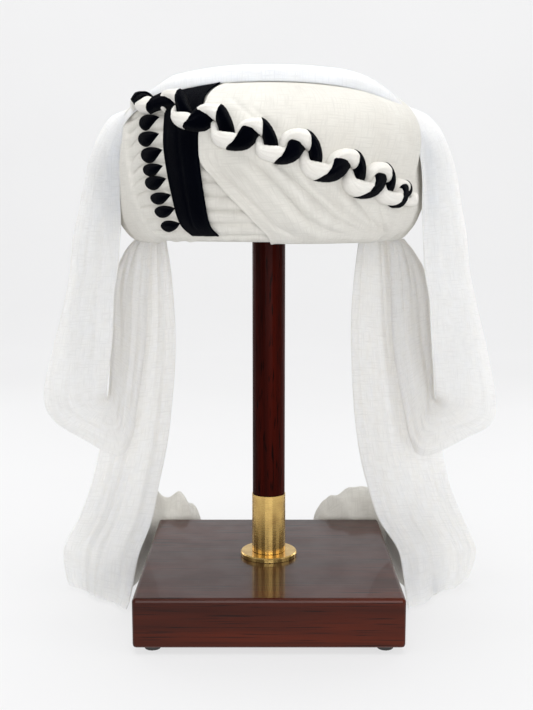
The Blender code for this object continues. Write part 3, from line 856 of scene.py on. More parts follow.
@dataclass(frozen=True)
class SatinBrass:
    """Brass brushed round its axis."""

    name: str = "satin_brass"
    light: tuple = (0.70, 0.48, 0.165)
    dark: tuple = (0.44, 0.27, 0.09)
    roughness: float = 0.27
    brush_stretch: tuple = (8.0, 8.0, 900.0)
    brush_span: tuple = (0.3, 0.7)
    brush_depth: float = 0.000002
    patch_scale: float = 60.0
    patch_span: tuple = (0.40, 0.70)
    patch_share: float = 0.7

    def build(self, groups: EffectGroups) -> bpy.types.Material:
        """Material of this finish.

        Args:
            groups: Shared node groups.

        Returns:
            The material.
        """
        mat, tree, shader, place = Finish.start(self.name)
        brushed = Finish.group(tree, groups.grain, Place=place, Stretch=self.brush_stretch)
        patch = Finish.group(tree, groups.mottle, Place=place, Scale=self.patch_scale)
        share = Finish.spread(tree, patch.outputs["Patch"], self.patch_span, (0.0, self.patch_share))
        tree.links.new(Finish.mix(tree, share, self.light, self.dark), shader.inputs["Base Color"])
        rough = Finish.spread(tree, brushed.outputs["Figure"], self.brush_span,
                              (self.roughness - 0.015, self.roughness + 0.02))
        tree.links.new(rough, shader.inputs["Roughness"])
        normal = Finish.bump(tree, brushed.outputs["Figure"], self.brush_depth, 0.04)
        tree.links.new(normal, shader.inputs["Normal"])
        shader.inputs["Metallic"].default_value = 1.0
        return mat


@dataclass(frozen=True)
class PlainFinish:
    """Plain matt finish with a soft mottle, for the feet, the hidden rest and the studio floor."""

    name: str
    light: tuple
    dark: tuple
    roughness: float = 0.7
    scale: float = 60.0
    glow: float = 0.0
    glow_color: tuple = (0.985, 0.985, 0.99, 1.0)

    def build(self, groups: EffectGroups) -> bpy.types.Material:
        """Material of this finish.

        Args:
            groups: Shared node groups.

        Returns:
            The material.
        """
        mat, tree, shader, place = Finish.start(self.name)
        patch = Finish.group(tree, groups.mottle, Place=place, Scale=self.scale)
        share = Finish.spread(tree, patch.outputs["Patch"], (0.35, 0.65), (0.0, 1.0))
        tree.links.new(Finish.mix(tree, share, self.light, self.dark), shader.inputs["Base Color"])
        shader.inputs["Roughness"].default_value = self.roughness
        if self.glow:
            shader.inputs["Emission Color"].default_value = self.glow_color
            shader.inputs["Emission Strength"].default_value = self.glow
        return mat


@dataclass
class Finishes:
    """Every finish of the turban and its stand."""

    groups: EffectGroups
    white: CottonFinish = CottonFinish("white_cotton_cloth", (0.79, 0.777, 0.727), (0.73, 0.707, 0.652))
    # The hanging cloth is the same cotton as the white finish above. This copy is painted lighter and warmer, as
    # painted light for the light that comes through the loops, the drape and the hanging ends. It also has
    # subsurface scattering.
    thin: CottonFinish = CottonFinish("thin_cotton_cloth", (0.970, 0.942, 0.892), (0.925, 0.890, 0.830), glow=1.0)
    plait: CottonFinish = CottonFinish("plait_cotton_cloth", (0.88, 0.865, 0.82), (0.82, 0.795, 0.74),
                                       crumple_depth=0.0005, crumple_scale=90.0)
    black: CottonFinish = CottonFinish("black_cotton_cloth", (0.0006, 0.0009, 0.0024), (0.0012, 0.0017, 0.0042),
                                       roughness=0.85, sheen=0.035, sheen_roughness=0.3, specular=0.005,
                                       crumple_depth=0.0005, crumple_scale=70.0)
    base_wood: VarnishedWood = VarnishedWood("base_mahogany", (0.030, 0.0042, 0.0012), (0.072, 0.0095, 0.0022),
                                             (3.0, 26.0, 60.0))
    pole_wood: VarnishedWood = VarnishedWood("pole_mahogany", (0.012, 0.0009, 0.0004), (0.042, 0.0026, 0.0007),
                                             (70.0, 70.0, 4.0), roughness=0.42, specular=0.02, coat=0.05,
                                             coat_roughness=0.16)
    brass: SatinBrass = SatinBrass()
    foot: PlainFinish = PlainFinish("dark_rubber", (0.020, 0.018, 0.018), (0.032, 0.029, 0.028))
    rest: PlainFinish = PlainFinish("plain_board", (0.45, 0.32, 0.20), (0.36, 0.25, 0.15))
    paper: PlainFinish = PlainFinish("studio_paper", (0.170, 0.171, 0.174), (0.163, 0.164, 0.167), 0.9, 3.0, 0.695)
    made: dict = field(default_factory=dict)

    def get(self, name: str) -> bpy.types.Material:
        """Material of a named finish, built on first use."""
        if name not in self.made:
            self.made[name] = getattr(self, name).build(self.groups)
        return self.made[name]


@dataclass
class DisplayStand:
    """Wood base, feet, brass foot, pole and hidden rest: the CAD meshes with their finishes."""

    finishes: Finishes
    parts: tuple = (
        ("base_block", "base_wood"), ("foot_1", "foot"), ("foot_2", "foot"), ("foot_3", "foot"),
        ("foot_4", "foot"), ("brass_flange", "brass"), ("brass_sleeve", "brass"), ("pole", "pole_wood"),
        ("support_disc", "rest"),
    )

    def dress(self) -> None:
        """Gives each part of the stand its finish."""
        for node, finish in self.parts:
            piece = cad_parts[node]
            piece.data.materials.clear()
            piece.data.materials.append(self.finishes.get(finish))
            LOG.info("%s: dressed", node)


@dataclass
class WoundRing:
    """Wound body with its stacked folds, the crown cloth and the black fold ends."""

    skin: RingSkin
    finishes: Finishes
    pitch: float = 0.0124
    depth: float = 0.0036
    turns: int = 340
    rows: int = 170
    first_angle: float = -200.0
    sunk: float = 0.0004
    steep_least: float = 0.35
    steep_span: tuple = (0.10, 0.55)
    drop: float = 0.0135
    drop_span: tuple = (-152.0, -137.5)
    front_drop: float = 0.0044
    front_span: tuple = (-128.0, -112.0)
    fold_blend: tuple = (-0.6, 1.6)
    fold_end: tuple = (-88.0, -80.0)
    fold_top: tuple = (0.80, 0.88)
    fold_level: float = 0.9
    edge_start: tuple = (-194.0, -184.0)
    edge_blend: tuple = (-1.4, 0.6)
    edge_height: float = 0.0013
    shoulder: tuple = (0.80, 0.95)
    underside: tuple = (0.02, 0.13)
    gather_depth: float = 0.0015
    gather_count: float = 44.0
    shoulder_gathers: float = 0.7
    folded_gathers: float = 0.4
    uneven_wave: tuple = (2.2, 5.0, 1.7)
    uneven_depth: float = 0.0010
    crown_faces: tuple = (26, 150)
    crown_swirl: float = 1.1
    crown_folds: tuple = (9.0, 0.0008)
    crown_laps: tuple = (3.0, 0.0009)
    leaf_faces: tuple = (8, 48)
    leaf_middle: tuple = (-0.25, 0.05)
    leaf_rise: float = 0.0034
    leaf_round: float = 2.6
    leaves: tuple = (
        (-137.2, 0.768, 5.2, 0.0062), (-135.7, 0.660, 5.3, 0.0059), (-133.6, 0.554, 5.2, 0.0061),
        (-132.8, 0.461, 4.7, 0.0050), (-131.6, 0.377, 4.9, 0.0055), (-129.3, 0.280, 4.6, 0.0047),
        (-127.9, 0.192, 4.5, 0.0047), (-126.9, 0.100, 4.4, 0.0045),
    )
    leaf_outline: tuple = (
        (0.0, 1.00, 0.52), (1.0, 0.52, 0.80), (2.0, 0.00, 0.95), (3.0, -0.50, 0.90), (4.0, -0.86, 0.60),
        (5.0, -0.99, 0.10), (6.0, -0.88, -0.42), (7.0, -0.60, -0.86), (8.0, -0.30, -1.02), (9.0, 0.05, -0.88),
        (10.0, 0.45, -0.50), (11.0, 0.78, 0.02), (12.0, 1.00, 0.52),
    )
    fold_start: tuple = (
        (0.00, -137.5), (0.15, -140.5), (0.22, -141.5), (0.285, -143.1), (0.424, -145.9), (0.578, -148.6),
        (0.810, -155.8), (0.913, -163.0), (1.00, -166.0),
    )
    back_wraps: tuple = (
        FoldLine(((-30.0, 0.20), (20.0, 0.34), (90.0, 0.46), (150.0, 0.52)), 0.0030, 0.007, 2.2),
        FoldLine(((-20.0, 0.52), (30.0, 0.60), (90.0, 0.66), (160.0, 0.72)), 0.0030, 0.007, 2.2),
        FoldLine(((-10.0, 0.80), (50.0, 0.84), (110.0, 0.86), (165.0, 0.90)), 0.0026, 0.006, 2.0),
        FoldLine(((0.0, 0.06), (60.0, 0.20), (110.0, 0.26), (165.0, 0.30)), 0.0026, 0.006, 2.0),
        FoldLine(((40.0, 0.96), (90.0, 0.72), (150.0, 0.40), (172.0, 0.22)), 0.0022, 0.005, 2.4),
    )

    def fold_phase(self, angle_deg: float, length: float) -> float:
        """Which stacked fold a place is on: whole numbers are creases, halves the middle of a fold.

        Args:
            angle_deg: Angle round the ring.
            length: Length up the wall.

        Returns:
            The number of folds up to this place.
        """
        more = 1.0 - self.steep_least
        steep = self.steep_least + more * smooth_step(*self.steep_span, length / self.skin.length)
        drop = self.drop * steep * (1.0 - smooth_step(*self.drop_span, angle_deg))
        drop += self.front_drop * smooth_step(*self.front_span, angle_deg)
        rows = sorted((self.skin.length_at(leaf[1]), k + 0.5) for k, leaf in enumerate(reversed(self.leaves)))
        place = length + drop
        first, last = rows[0], rows[-1]
        if place < first[0]:
            return first[1] - (first[0] - place) / self.pitch
        if place > last[0]:
            return last[1] + (place - last[0]) / self.pitch
        return table_value(rows, place, 1)

    def relief(self, angle_deg: float, length: float, wraps: FoldField) -> float:
        """Relief of the wound body's skin.

        Args:
            angle_deg: Angle round the ring, from -200 to 160.
            length: Length up the wall.
            wraps: Folds of the hidden sides.

        Returns:
            Height over the skin in metres.
        """
        share = length / self.skin.length
        level = self.skin.wall_at(length)[1] / self.skin.height
        start = table_value(self.fold_start, level, 1)
        low, high = self.fold_blend
        folded = smooth_step(start + low, start + high, angle_deg) * (1.0 - smooth_step(*self.fold_end, angle_deg))
        folded *= 1.0 - smooth_step(*self.fold_top, share)
        ridge = (pillow(self.fold_phase(angle_deg, length)) - self.fold_level) * self.depth
        low, high = self.edge_blend
        edge = smooth_step(*self.edge_start, angle_deg) * (1.0 - smooth_step(start + low, start + high, angle_deg))
        over = smooth_step(*self.shoulder, share)
        edge *= 1.0 - over
        calm = 1.0 - folded
        turn = math.radians(angle_deg)
        gathers = self.gather_depth * math.sin(turn * self.gather_count + 3.0 * math.sin(angle_deg * 0.11))
        gathered = 1.0 - smooth_step(*self.underside, share) + over * self.shoulder_gathers
        soft = noise_at(self.uneven_wave, turn, share, 1) * self.uneven_depth
        return (ridge * folded + edge * self.edge_height + wraps.relief(angle_deg, length) * calm
                + gathers * gathered * (self.folded_gathers + (1.0 - self.folded_gathers) * calm) + soft * calm)

    def build_body(self) -> bpy.types.Object:
        """Wound body as one closed ring."""
        wraps = FoldField(self.skin, self.back_wraps)
        inner = [(inset * self.skin.wall, height * self.skin.height) for inset, height in self.skin.inner_wall]
        top = self.skin.wall_at(self.skin.length)
        loop = [top] + inner + [self.skin.wall_at(0.0)]
        points = []
        for r in range(self.turns + 1):
            angle = self.first_angle + 360.0 * (r % self.turns) / self.turns
            row = []
            for c in range(self.rows + 1):
                length = self.skin.length * c / self.rows
                row.append(self.skin.point(angle, length, self.relief(angle, length, wraps) - self.sunk)[0])
            for k in range(len(loop) - 1):
                (i0, h0), (i1, h1) = loop[k], loop[k + 1]
                for f in (0.25, 0.5, 0.75, 1.0):
                    if k == len(loop) - 2 and f == 1.0:
                        row.append(row[0].copy())
                    else:
                        row.append(self.skin.ring_point(angle, i0 + (i1 - i0) * f, h0 + (h1 - h0) * f)[0])
            points.append(row)
        piece = ClothBuilder.grid("wound_ring", points, Wrap.RING)
        ClothBuilder.finish(piece, 0.0, 0)
        ClothBuilder.place(piece, Slot.WHITE_COTTON, self.finishes.get("white"), "wound_body")
        return piece

    def build_crown(self) -> bpy.types.Object:
        """Domed cloth that closes the top, drawn in toward its middle."""
        rim = self.skin.crown_rim * self.skin.wall
        middle = self.skin.top + 0.0003 + self.skin.cloth / 2
        rings, sides = self.crown_faces
        (fold_count, fold_depth), (lap_count, lap_depth) = self.crown_folds, self.crown_laps
        points = []
        for r in range(rings + 1):
            share = r / rings
            row = []
            for c in range(sides + 1):
                a = FULL_TURN * (c % sides) / sides
                x = (self.skin.half_width - rim) * share * math.cos(a)
                y = (self.skin.half_depth - rim) * share * math.sin(a)
                swirl = a + self.crown_swirl * share
                folds = fold_depth * math.sin(swirl * fold_count) * smooth_step(0.05, 0.5, share)
                lap = pillow(share * lap_count + a / FULL_TURN) - 0.6
                folds += lap_depth * lap * (1.0 - smooth_step(0.8, 1.0, share))
                row.append(Vector((x, y, middle + self.skin.crown_rise * (1.0 - share ** 2) + folds - 0.0006)))
            points.append(row)
        piece = ClothBuilder.grid("crown_wrap", points, Wrap.TUBE)
        ClothBuilder.finish(piece, self.skin.cloth * 0.8, 0)
        ClothBuilder.place(piece, Slot.WHITE_COTTON, self.finishes.get("white"), "crown_cloth")
        return piece

    def build_leaf(self, index: int, angle: float, share: float, half_long: float,
                   half_high: float) -> bpy.types.Object:
        """Black end of one fold: nearly straight above, round below, pointed toward the band.

        Args:
            index: Number of the fold, from the top.
            angle: Angle of the leaf's middle.
            share: Height share of the leaf's middle.
            half_long: Half length in degrees.
            half_high: Half height in metres.

        Returns:
            The piece.
        """
        length = self.skin.length_at(share)
        outline = self.leaf_outline
        rings, sides = self.leaf_faces
        mid_along, mid_up = self.leaf_middle
        points = []
        for r in range(rings + 1):
            grow = 1.0 - r / rings
            row = []
            for c in range(sides + 1):
                t = outline[-1][0] * (c % sides) / sides
                along, up = table_value(outline, t, 1), table_value(outline, t, 2)
                along, up = (along - mid_along) * grow + mid_along, (up - mid_up) * grow + mid_up
                lift = 0.0001 + self.leaf_rise * max(0.0, 1.0 - grow ** self.leaf_round) ** 0.5
                row.append(self.skin.point(angle + half_long * along, length + half_high * up, lift)[0])
            points.append(row)
        middle = self.skin.point(angle + mid_along * half_long, length, -0.0015)[0]
        base = [[middle] * (sides + 1)]
        base.append([p - (self.skin.point(angle, length, 1.0)[1] * 0.0016) for p in points[0]])
        piece = ClothBuilder.grid("border_tip_%d" % index, base + points, Wrap.TUBE)
        ClothBuilder.finish(piece, 0.0, 0)
        ClothBuilder.place(piece, Slot.BLACK_COTTON, self.finishes.get("black"), "border_leaf_%d" % index)
        return piece

    def build(self) -> None:
        """Builds and dresses the ring, the crown and the fold ends."""
        self.build_body()
        self.build_crown()
        for index, (angle, share, half_long, half_high) in enumerate(self.leaves, start=1):
            self.build_leaf(index, angle, share, half_long, half_high)


@dataclass
class FrontWraps:
    """Upright black band and the white cloth that sweeps across the front to its gather."""

    skin: RingSkin
    finishes: Finishes
    band_cloth: float = 0.0017
    panel_cloth: float = 0.0022
    band_faces: tuple = (20, 70)
    panel_faces: tuple = (104, 100)
    band_hem: tuple = (0.06, 0.0006)
    band_crease: tuple = (0.035, 0.0004)
    band_belly: float = 0.0004
    panel_hem: tuple = (0.022, 0.0007)
    panel_belly: float = 0.0016
    band: tuple = (
        (0.050, -118.4, -107.8), (0.066, -119.3, -108.6), (0.090, -120.6, -109.6), (0.127, -121.7, -110.2),
        (0.239, -123.0, -110.9), (0.412, -125.1, -112.2), (0.586, -127.0, -113.3), (0.698, -127.6, -113.4),
        (0.792, -128.6, -113.4), (0.860, -130.2, -113.4), (0.911, -132.0, -113.6), (0.951, -135.0, -112.8),
        (0.972, -138.5, -110.5), (0.994, -139.0, -103.0),
    )
    band_rise: float = 0.0030
    panel: tuple = (
        (0.012, -89.4, -44.0), (0.056, -90.6, -42.0), (0.123, -94.4, -40.0), (0.212, -99.0, -37.6),
        (0.300, -103.7, -34.4), (0.388, -107.6, -31.2), (0.493, -112.3, -27.0), (0.612, -113.2, -22.6),
        (0.720, -113.2, -18.6), (0.800, -113.1, -16.4), (0.868, -112.6, -16.4), (0.925, -112.0, -19.6),
        (0.968, -109.6, -27.0), (0.992, -104.0, -36.0),
    )
    folds: tuple = (
        FoldLine(((-104.6, 0.89), (-97.8, 0.79), (-92.2, 0.70)), -0.0010, 0.0014, 2.0),
        FoldLine(((-97.7, 0.84), (-91.9, 0.75), (-86.3, 0.65)), -0.0009, 0.0014, 2.0),
        FoldLine(((-110.7, 0.53), (-105.6, 0.44), (-100.1, 0.34), (-94.4, 0.23), (-88.4, 0.12), (-80.2, 0.05)),
                 -0.0015, 0.0018, 1.8),
        FoldLine(((-104.0, 0.58), (-97.0, 0.44), (-90.0, 0.30), (-82.0, 0.15), (-70.0, 0.04)),
                 0.0018, 0.0040),
        FoldLine(((-99.1, 0.57), (-92.1, 0.45), (-86.3, 0.34), (-77.9, 0.16), (-68.7, 0.09), (-56.6, 0.05)),
                 -0.0032, 0.0028, 1.6),
        FoldLine(((-94.0, 0.54), (-88.0, 0.43), (-80.0, 0.26), (-72.0, 0.13), (-56.0, 0.04)), 0.0024, 0.0036),
        FoldLine(((-90.3, 0.52), (-85.5, 0.45), (-76.8, 0.30), (-67.6, 0.16), (-48.1, 0.04)),
                 -0.0034, 0.0028, 1.6),
        FoldLine(((-84.0, 0.48), (-76.0, 0.34), (-68.0, 0.21), (-48.0, 0.03)), 0.0020, 0.0032),
        FoldLine(((-80.2, 0.44), (-75.2, 0.34), (-65.4, 0.20), (-44.0, 0.04)), -0.0030, 0.0026, 1.6),
        FoldLine(((-71.0, 0.38), (-62.0, 0.20), (-46.0, 0.04)), 0.0018, 0.0032),
        FoldLine(((-64.8, 0.33), (-58.4, 0.23), (-48.5, 0.09), (-40.7, 0.04)), -0.0024, 0.0024, 1.5),
        FoldLine(((-52.0, 0.26), (-46.0, 0.12), (-41.5, 0.04)), -0.0018, 0.0022),
    )

    def strip(self, name: str, table: tuple, cols: int, rows: int, thickness: float,
              relief: Callable[[float, float, float, float], float]) -> bpy.types.Object:
        """Cloth laid on the ring's skin.

        Args:
            name: Name of the piece.
            table: Height share, left angle and right angle of each row.
            cols: Faces across.
            rows: Faces up.
            thickness: Cloth thickness.
            relief: Height over the cloth from angle, length, share across and share up.

        Returns:
            The piece.
        """
        lengths = [(self.skin.length_at(row[0]), row[1], row[2]) for row in table]
        points = []
        for r in range(rows + 1):
            v = r / rows
            length = lengths[0][0] + (lengths[-1][0] - lengths[0][0]) * v
            left = table_value(lengths, length, 1)
            right = table_value(lengths, length, 2)
            row = []
            for c in range(cols + 1):
                u = c / cols
                angle = left + (right - left) * u
                lift = 0.0004 + thickness / 2 + relief(angle, length, u, v)
                row.append(self.skin.point(angle, length, lift)[0])
            points.append(row)
        piece = ClothBuilder.grid(name, points)
        ClothBuilder.finish(piece, thickness, 1)
        return piece

    def build_band(self) -> bpy.types.Object:
        """Upright black band with its long soft creases."""
        def relief(angle: float, length: float, u: float, v: float) -> float:
            """Creases along the band and its thick folded edges."""
            (hem_width, hem), (crease_width, crease) = self.band_hem, self.band_crease
            edges = bell(u, hem_width) + bell(1.0 - u, hem_width)
            fold = bell(u - 0.42 - 0.06 * math.sin(4.0 * v), crease_width)
            rise = self.band_rise * smooth_step(0.84, 1.0, v)
            return hem * edges - crease * fold + self.band_belly * math.sin(math.pi * u) + rise

        piece = self.strip("upright_band", self.band, *self.band_faces, self.band_cloth, relief)
        ClothBuilder.place(piece, Slot.BLACK_COTTON, self.finishes.get("black"), "black_band")
        return piece

    def build_panel(self) -> bpy.types.Object:
        """Front cloth with its folds and thick lower edge."""
        field_of_folds = FoldField(self.skin, self.folds)

        def relief(angle: float, length: float, u: float, v: float) -> float:
            """Folds to the gather, over a slightly padded cloth."""
            belly = math.sin(math.pi * min(u * 1.4, 1.0)) * math.sin(math.pi * min(v * 1.1, 1.0)) ** 0.5
            hem_width, hem = self.panel_hem
            return self.panel_belly * belly + hem * bell(u, hem_width) + field_of_folds.relief(angle, length)

        piece = self.strip("front_sweep", self.panel, *self.panel_faces, self.panel_cloth, relief)
        ClothBuilder.place(piece, Slot.WHITE_COTTON, self.finishes.get("white"), "front_panel")
        return piece

    def build(self) -> None:
        """Builds and dresses the band and the front cloth."""
        self.build_band()
        self.build_panel()


class UnitWarp:
    """Carries the drawn unit of the plait to another unit, by the marks that both have."""

    reach: float = 0.0020

    def __init__(self, drawn: list[tuple[float, float]], marks: list[tuple[float, float]]) -> None:
        """Fits the marks, and keeps what the fit leaves over.

        Args:
            drawn: Marks of the drawn unit, as metres round and up the skin.
            marks: The same marks of the other unit.
        """
        count = len(drawn)
        self.drawn = drawn
        self.start = tuple(sum(mark[k] for mark in drawn) / count for k in (0, 1))
        self.end = tuple(sum(mark[k] for mark in marks) / count for k in (0, 1))
        away = [(x - self.start[0], y - self.start[1]) for x, y in drawn]
        sxx, syy = sum(x * x for x, _ in away), sum(y * y for _, y in away)
        sxy = sum(x * y for x, y in away)
        span = sxx * syy - sxy * sxy
        self.turn = []
        for k in (0, 1):
            sxu = sum(a[0] * (mark[k] - self.end[k]) for a, mark in zip(away, marks))
            syu = sum(a[1] * (mark[k] - self.end[k]) for a, mark in zip(away, marks))
            self.turn.append(((sxu * syy - syu * sxy) / span, (syu * sxx - sxu * sxy) / span))
        (a, b), (c, d) = self.turn
        self.size = math.sqrt(abs(a * d - b * c))
        self.rest = [tuple(mark[k] - self.fitted(x, y)[k] for k in (0, 1)) for (x, y), mark in zip(drawn, marks)]

    def fitted(self, x: float, y: float) -> tuple[float, float]:
        """Place by the even fit alone."""
        dx, dy = x - self.start[0], y - self.start[1]
        return tuple(self.end[k] + self.turn[k][0] * dx + self.turn[k][1] * dy for k in (0, 1))

    def carry(self, x: float, y: float) -> tuple[float, float]:
        """Place on the other unit.

        Args:
            x: Metres round the skin on the drawn unit.
            y: Metres up the skin on the drawn unit.

        Returns:
            Metres round and up the skin on the other unit.
        """
        weights = [1.0 / ((x - mark[0]) ** 2 + (y - mark[1]) ** 2 + self.reach ** 2) for mark in self.drawn]
        total = sum(weights)
        even = self.fitted(x, y)
        return tuple(even[k] + sum(w * rest[k] for w, rest in zip(weights, self.rest)) / total for k in (0, 1))


@dataclass(frozen=True)
class StrandPass:
    """One pass of a strand over the others, as it was drawn on the measured unit.

    A row of edges is (upper angle, upper height share, lower angle, lower height share). A row of the
    border is (share from the upper edge, row of edges where the black starts). A row of heights is
    (row of edges, share of the strand's thickness).
    """

    edges: tuple
    border: tuple
    heights: tuple
    upper_power: float = 2.3


@dataclass
class Plait:
    """Three plump strands, each white cloth with its black border folded to one side."""

    skin: RingSkin
    finishes: Finishes
    thick: float = 0.0108
    base: float = 0.0018
    border_cover: float = 0.0007
    border_cloth: float = 0.0010
    pass_faces: tuple = (54, 24)
    border_faces: tuple = (34, 24)
    under: tuple = (0.75, 0.5, 0.25)
    lower_power: float = 2.3
    lines: tuple = (7.0, 0.016)
    largest: float = 1.05
    upper: StrandPass = StrandPass(
        ((-87.2, 0.563, -85.4, 0.534), (-87.1, 0.615, -84.5, 0.575), (-86.0, 0.654, -84.2, 0.596),
         (-83.8, 0.679, -83.3, 0.606), (-81.3, 0.687, -81.4, 0.596), (-78.8, 0.681, -79.6, 0.575),
         (-76.7, 0.659, -78.4, 0.560), (-74.8, 0.612, -78.1, 0.541), (-73.6, 0.548, -77.9, 0.511),
         (-73.3, 0.476, -77.8, 0.476)),
        ((0.0, 5.05), (0.25, 5.55), (0.5, 5.80), (0.75, 6.10), (1.0, 6.50)),
        ((0.0, 0.30), (1.5, 0.80), (3.5, 1.00), (6.0, 1.02), (7.4, 0.92), (8.4, 0.62), (9.0, 0.12)))
    lower: StrandPass = StrandPass(
        ((-77.7, 0.553, -79.9, 0.570), (-77.7, 0.505, -80.8, 0.522), (-76.5, 0.497, -80.8, 0.469),
         (-74.9, 0.493, -79.6, 0.422), (-73.3, 0.488, -77.7, 0.396), (-72.0, 0.480, -75.5, 0.382),
         (-71.0, 0.497, -72.3, 0.374), (-69.7, 0.530, -69.0, 0.383), (-66.6, 0.530, -66.2, 0.416),
         (-63.6, 0.505, -64.0, 0.462)),
        ((0.0, 6.60), (0.12, 5.95), (0.5, 5.50), (0.8, 5.05), (1.0, 4.85)),
        ((0.0, 0.35), (1.2, 0.88), (3.0, 1.08), (6.0, 1.05), (7.6, 0.88), (9.0, 0.35)), 3.6)
    units: tuple = (
        ((-146.8, 0.849), (-149.2, 0.923), (-144.3, 0.857), (-137.6, 0.891), (-135.5, 0.805),
         (-124.4, 0.845), (-130.6, 0.893), (-142.7, 0.849), (-139.0, 0.911)),
        ((-124.4, 0.845), (-122.4, 0.905), (-121.8, 0.785), (-116.1, 0.775), (-118.1, 0.694),
         (-109.0, 0.740), (-113.3, 0.791), (-122.6, 0.758), (-128.5, 0.906)),
        ((-109.0, 0.740), (-105.1, 0.808), (-105.8, 0.670), (-100.8, 0.658), (-103.5, 0.569),
         (-94.0, 0.651), (-97.8, 0.689), (-108.0, 0.649), (-110.8, 0.819)),
        ((-94.0, 0.651), (-92.5, 0.735), (-91.7, 0.590), (-87.3, 0.584), (-88.8, 0.485),
         (-79.8, 0.571), (-84.0, 0.607), (-94.4, 0.556), (-95.7, 0.735)),
        ((-79.8, 0.571), (-78.9, 0.671), (-77.9, 0.498), (-73.6, 0.487), (-76.1, 0.387),
         (-65.0, 0.473), (-70.0, 0.515), (-81.0, 0.497), (-81.5, 0.681)),
        ((-65.0, 0.473), (-63.2, 0.563), (-62.9, 0.396), (-58.4, 0.377), (-62.0, 0.289),
         (-50.6, 0.389), (-55.7, 0.423), (-67.0, 0.377), (-66.3, 0.576)),
        ((-50.6, 0.389), (-50.7, 0.495), (-50.2, 0.334), (-45.4, 0.317), (-46.8, 0.241),
         (-39.0, 0.325), (-43.2, 0.352), (-54.2, 0.296), (-53.7, 0.502)),
        ((-39.0, 0.325), (-38.7, 0.394), (-38.2, 0.287), (-35.0, 0.307), (-35.8, 0.234),
         (-30.0, 0.277), (-32.8, 0.314), (-40.0, 0.269), (-42.2, 0.405)),
    )
    drawn_unit: int = 4
    all_white: tuple = ((7, "lower"),)
    all_black: tuple = ((0, "upper"),)
    black_row: float = 2.0
    spread: float = 1.05

    def metres(self, angle_deg: float, share: float) -> tuple[float, float]:
        """Metres round and up the skin of an angle and a height share."""
        return math.radians(angle_deg) * self.skin.half_depth, self.skin.length_at(share)

    def spot(self, strand_pass: StrandPass, warp: UnitWarp, t: float, v: float, cover: float) -> Vector:
        """Point on a pass of the plait.

        Args:
            strand_pass: The pass.
            warp: Way to the pass's unit.
            t: Row of edges.
            v: Share from the upper to the lower edge.
            cover: Height over the strand, or minus one for its underside.

        Returns:
            The point.
        """
        marks = row_at(strand_pass.edges, t)
        upper = warp.carry(*self.metres(*marks[:2]))
        lower = warp.carry(*self.metres(*marks[2:]))
        place = 0.5 + (v - 0.5) * (self.spread if cover > 0.0 else 1.0)
        x, y = (upper[k] + (lower[k] - upper[k]) * place for k in (0, 1))
        if cover < 0.0:
            lift = 0.0
        else:
            power = strand_pass.upper_power if v < 0.5 else self.lower_power
            bulge = max(0.0, 1.0 - abs(2.0 * v - 1.0) ** power) ** (1.0 / power)
            count, depth = self.lines
            lines = 1.0 + depth * math.sin(math.pi * count * v + 1.1 * t) * bulge
            height = table_value(strand_pass.heights, t, 1) * self.thick * min(warp.size, self.largest)
            lift = self.base + height * bulge * lines + cover
        return self.skin.point(math.degrees(x / self.skin.half_depth), y, lift)[0]

    def build_pass(self, name: str, strand_pass: StrandPass, warp: UnitWarp) -> bpy.types.Object:
        """White body of one pass, closed below.

        Args:
            name: Name of the piece.
            strand_pass: The pass.
            warp: Way to its unit.

        Returns:
            The piece.
        """
        steps, cols = self.pass_faces
        last = len(strand_pass.edges) - 1
        points = []
        for k in range(steps + 1):
            t = last * k / steps
            row = [self.spot(strand_pass, warp, t, c / cols, 0.0) for c in range(cols + 1)]
            row += [self.spot(strand_pass, warp, t, v, -1.0) for v in self.under]
            row.append(row[0].copy())
            points.append(row)
        for end in (0, -1):
            middle = sum(points[end][:-1], Vector()) / (len(points[end]) - 1)
            cap = [middle.copy() for _ in points[end]]
            points.insert(0, cap) if end == 0 else points.append(cap)
        return ClothBuilder.grid(name, points, Wrap.TUBE)

    def build_border(self, name: str, strand_pass: StrandPass, warp: UnitWarp,
                     whole: bool) -> bpy.types.Object:
        """Black border on the far end of one pass.

        Args:
            name: Name of the piece.
            strand_pass: The pass.
            warp: Way to its unit.
            whole: Whether the black covers nearly the whole pass.

        Returns:
            The piece.
        """
        steps, cols = self.border_faces
        last = len(strand_pass.edges) - 1
        points = []
        for k in range(steps + 1):
            row = []
            for c in range(cols + 1):
                v = c / cols
                start = self.black_row if whole else table_value(strand_pass.border, v, 1)
                row.append(self.spot(strand_pass, warp, start + (last - start) * k / steps, v, self.border_cover))
            points.append(row)
        piece = ClothBuilder.grid(name, points)
        ClothBuilder.finish(piece, self.border_cloth, 0, -1.0)
        return piece

    def build(self) -> None:
        """Builds and dresses the three strands; each takes every third pass."""
        drawn = [self.metres(*mark) for mark in self.units[self.drawn_unit]]
        white: dict = {1: [], 2: [], 3: []}
        black: dict = {1: [], 2: [], 3: []}
        number = 0
        for k, marks in enumerate(self.units):
            warp = UnitWarp(drawn, [self.metres(*mark) for mark in marks])
            for label, strand_pass in (("upper", self.upper), ("lower", self.lower)):
                index = number % 3 + 1
                white[index].append(self.build_pass("pass_%d" % number, strand_pass, warp))
                if (k, label) not in self.all_white:
                    black[index].append(self.build_border("border_%d" % number, strand_pass, warp,
                                                          (k, label) in self.all_black))
                number += 1
        for index in (1, 2, 3):
            strand = ClothBuilder.join("plait_strand_%d" % index, white[index])
            ClothBuilder.finish(strand, 0.0, 0)
            ClothBuilder.place(strand, Slot.PLAIT_COTTON, self.finishes.get("plait"), "braid_strand_%d" % index)
            border = ClothBuilder.join("plait_border_%d" % index, black[index])
            ClothBuilder.place(border, Slot.BLACK_COTTON, self.finishes.get("black"), "braid_border_%d" % index)


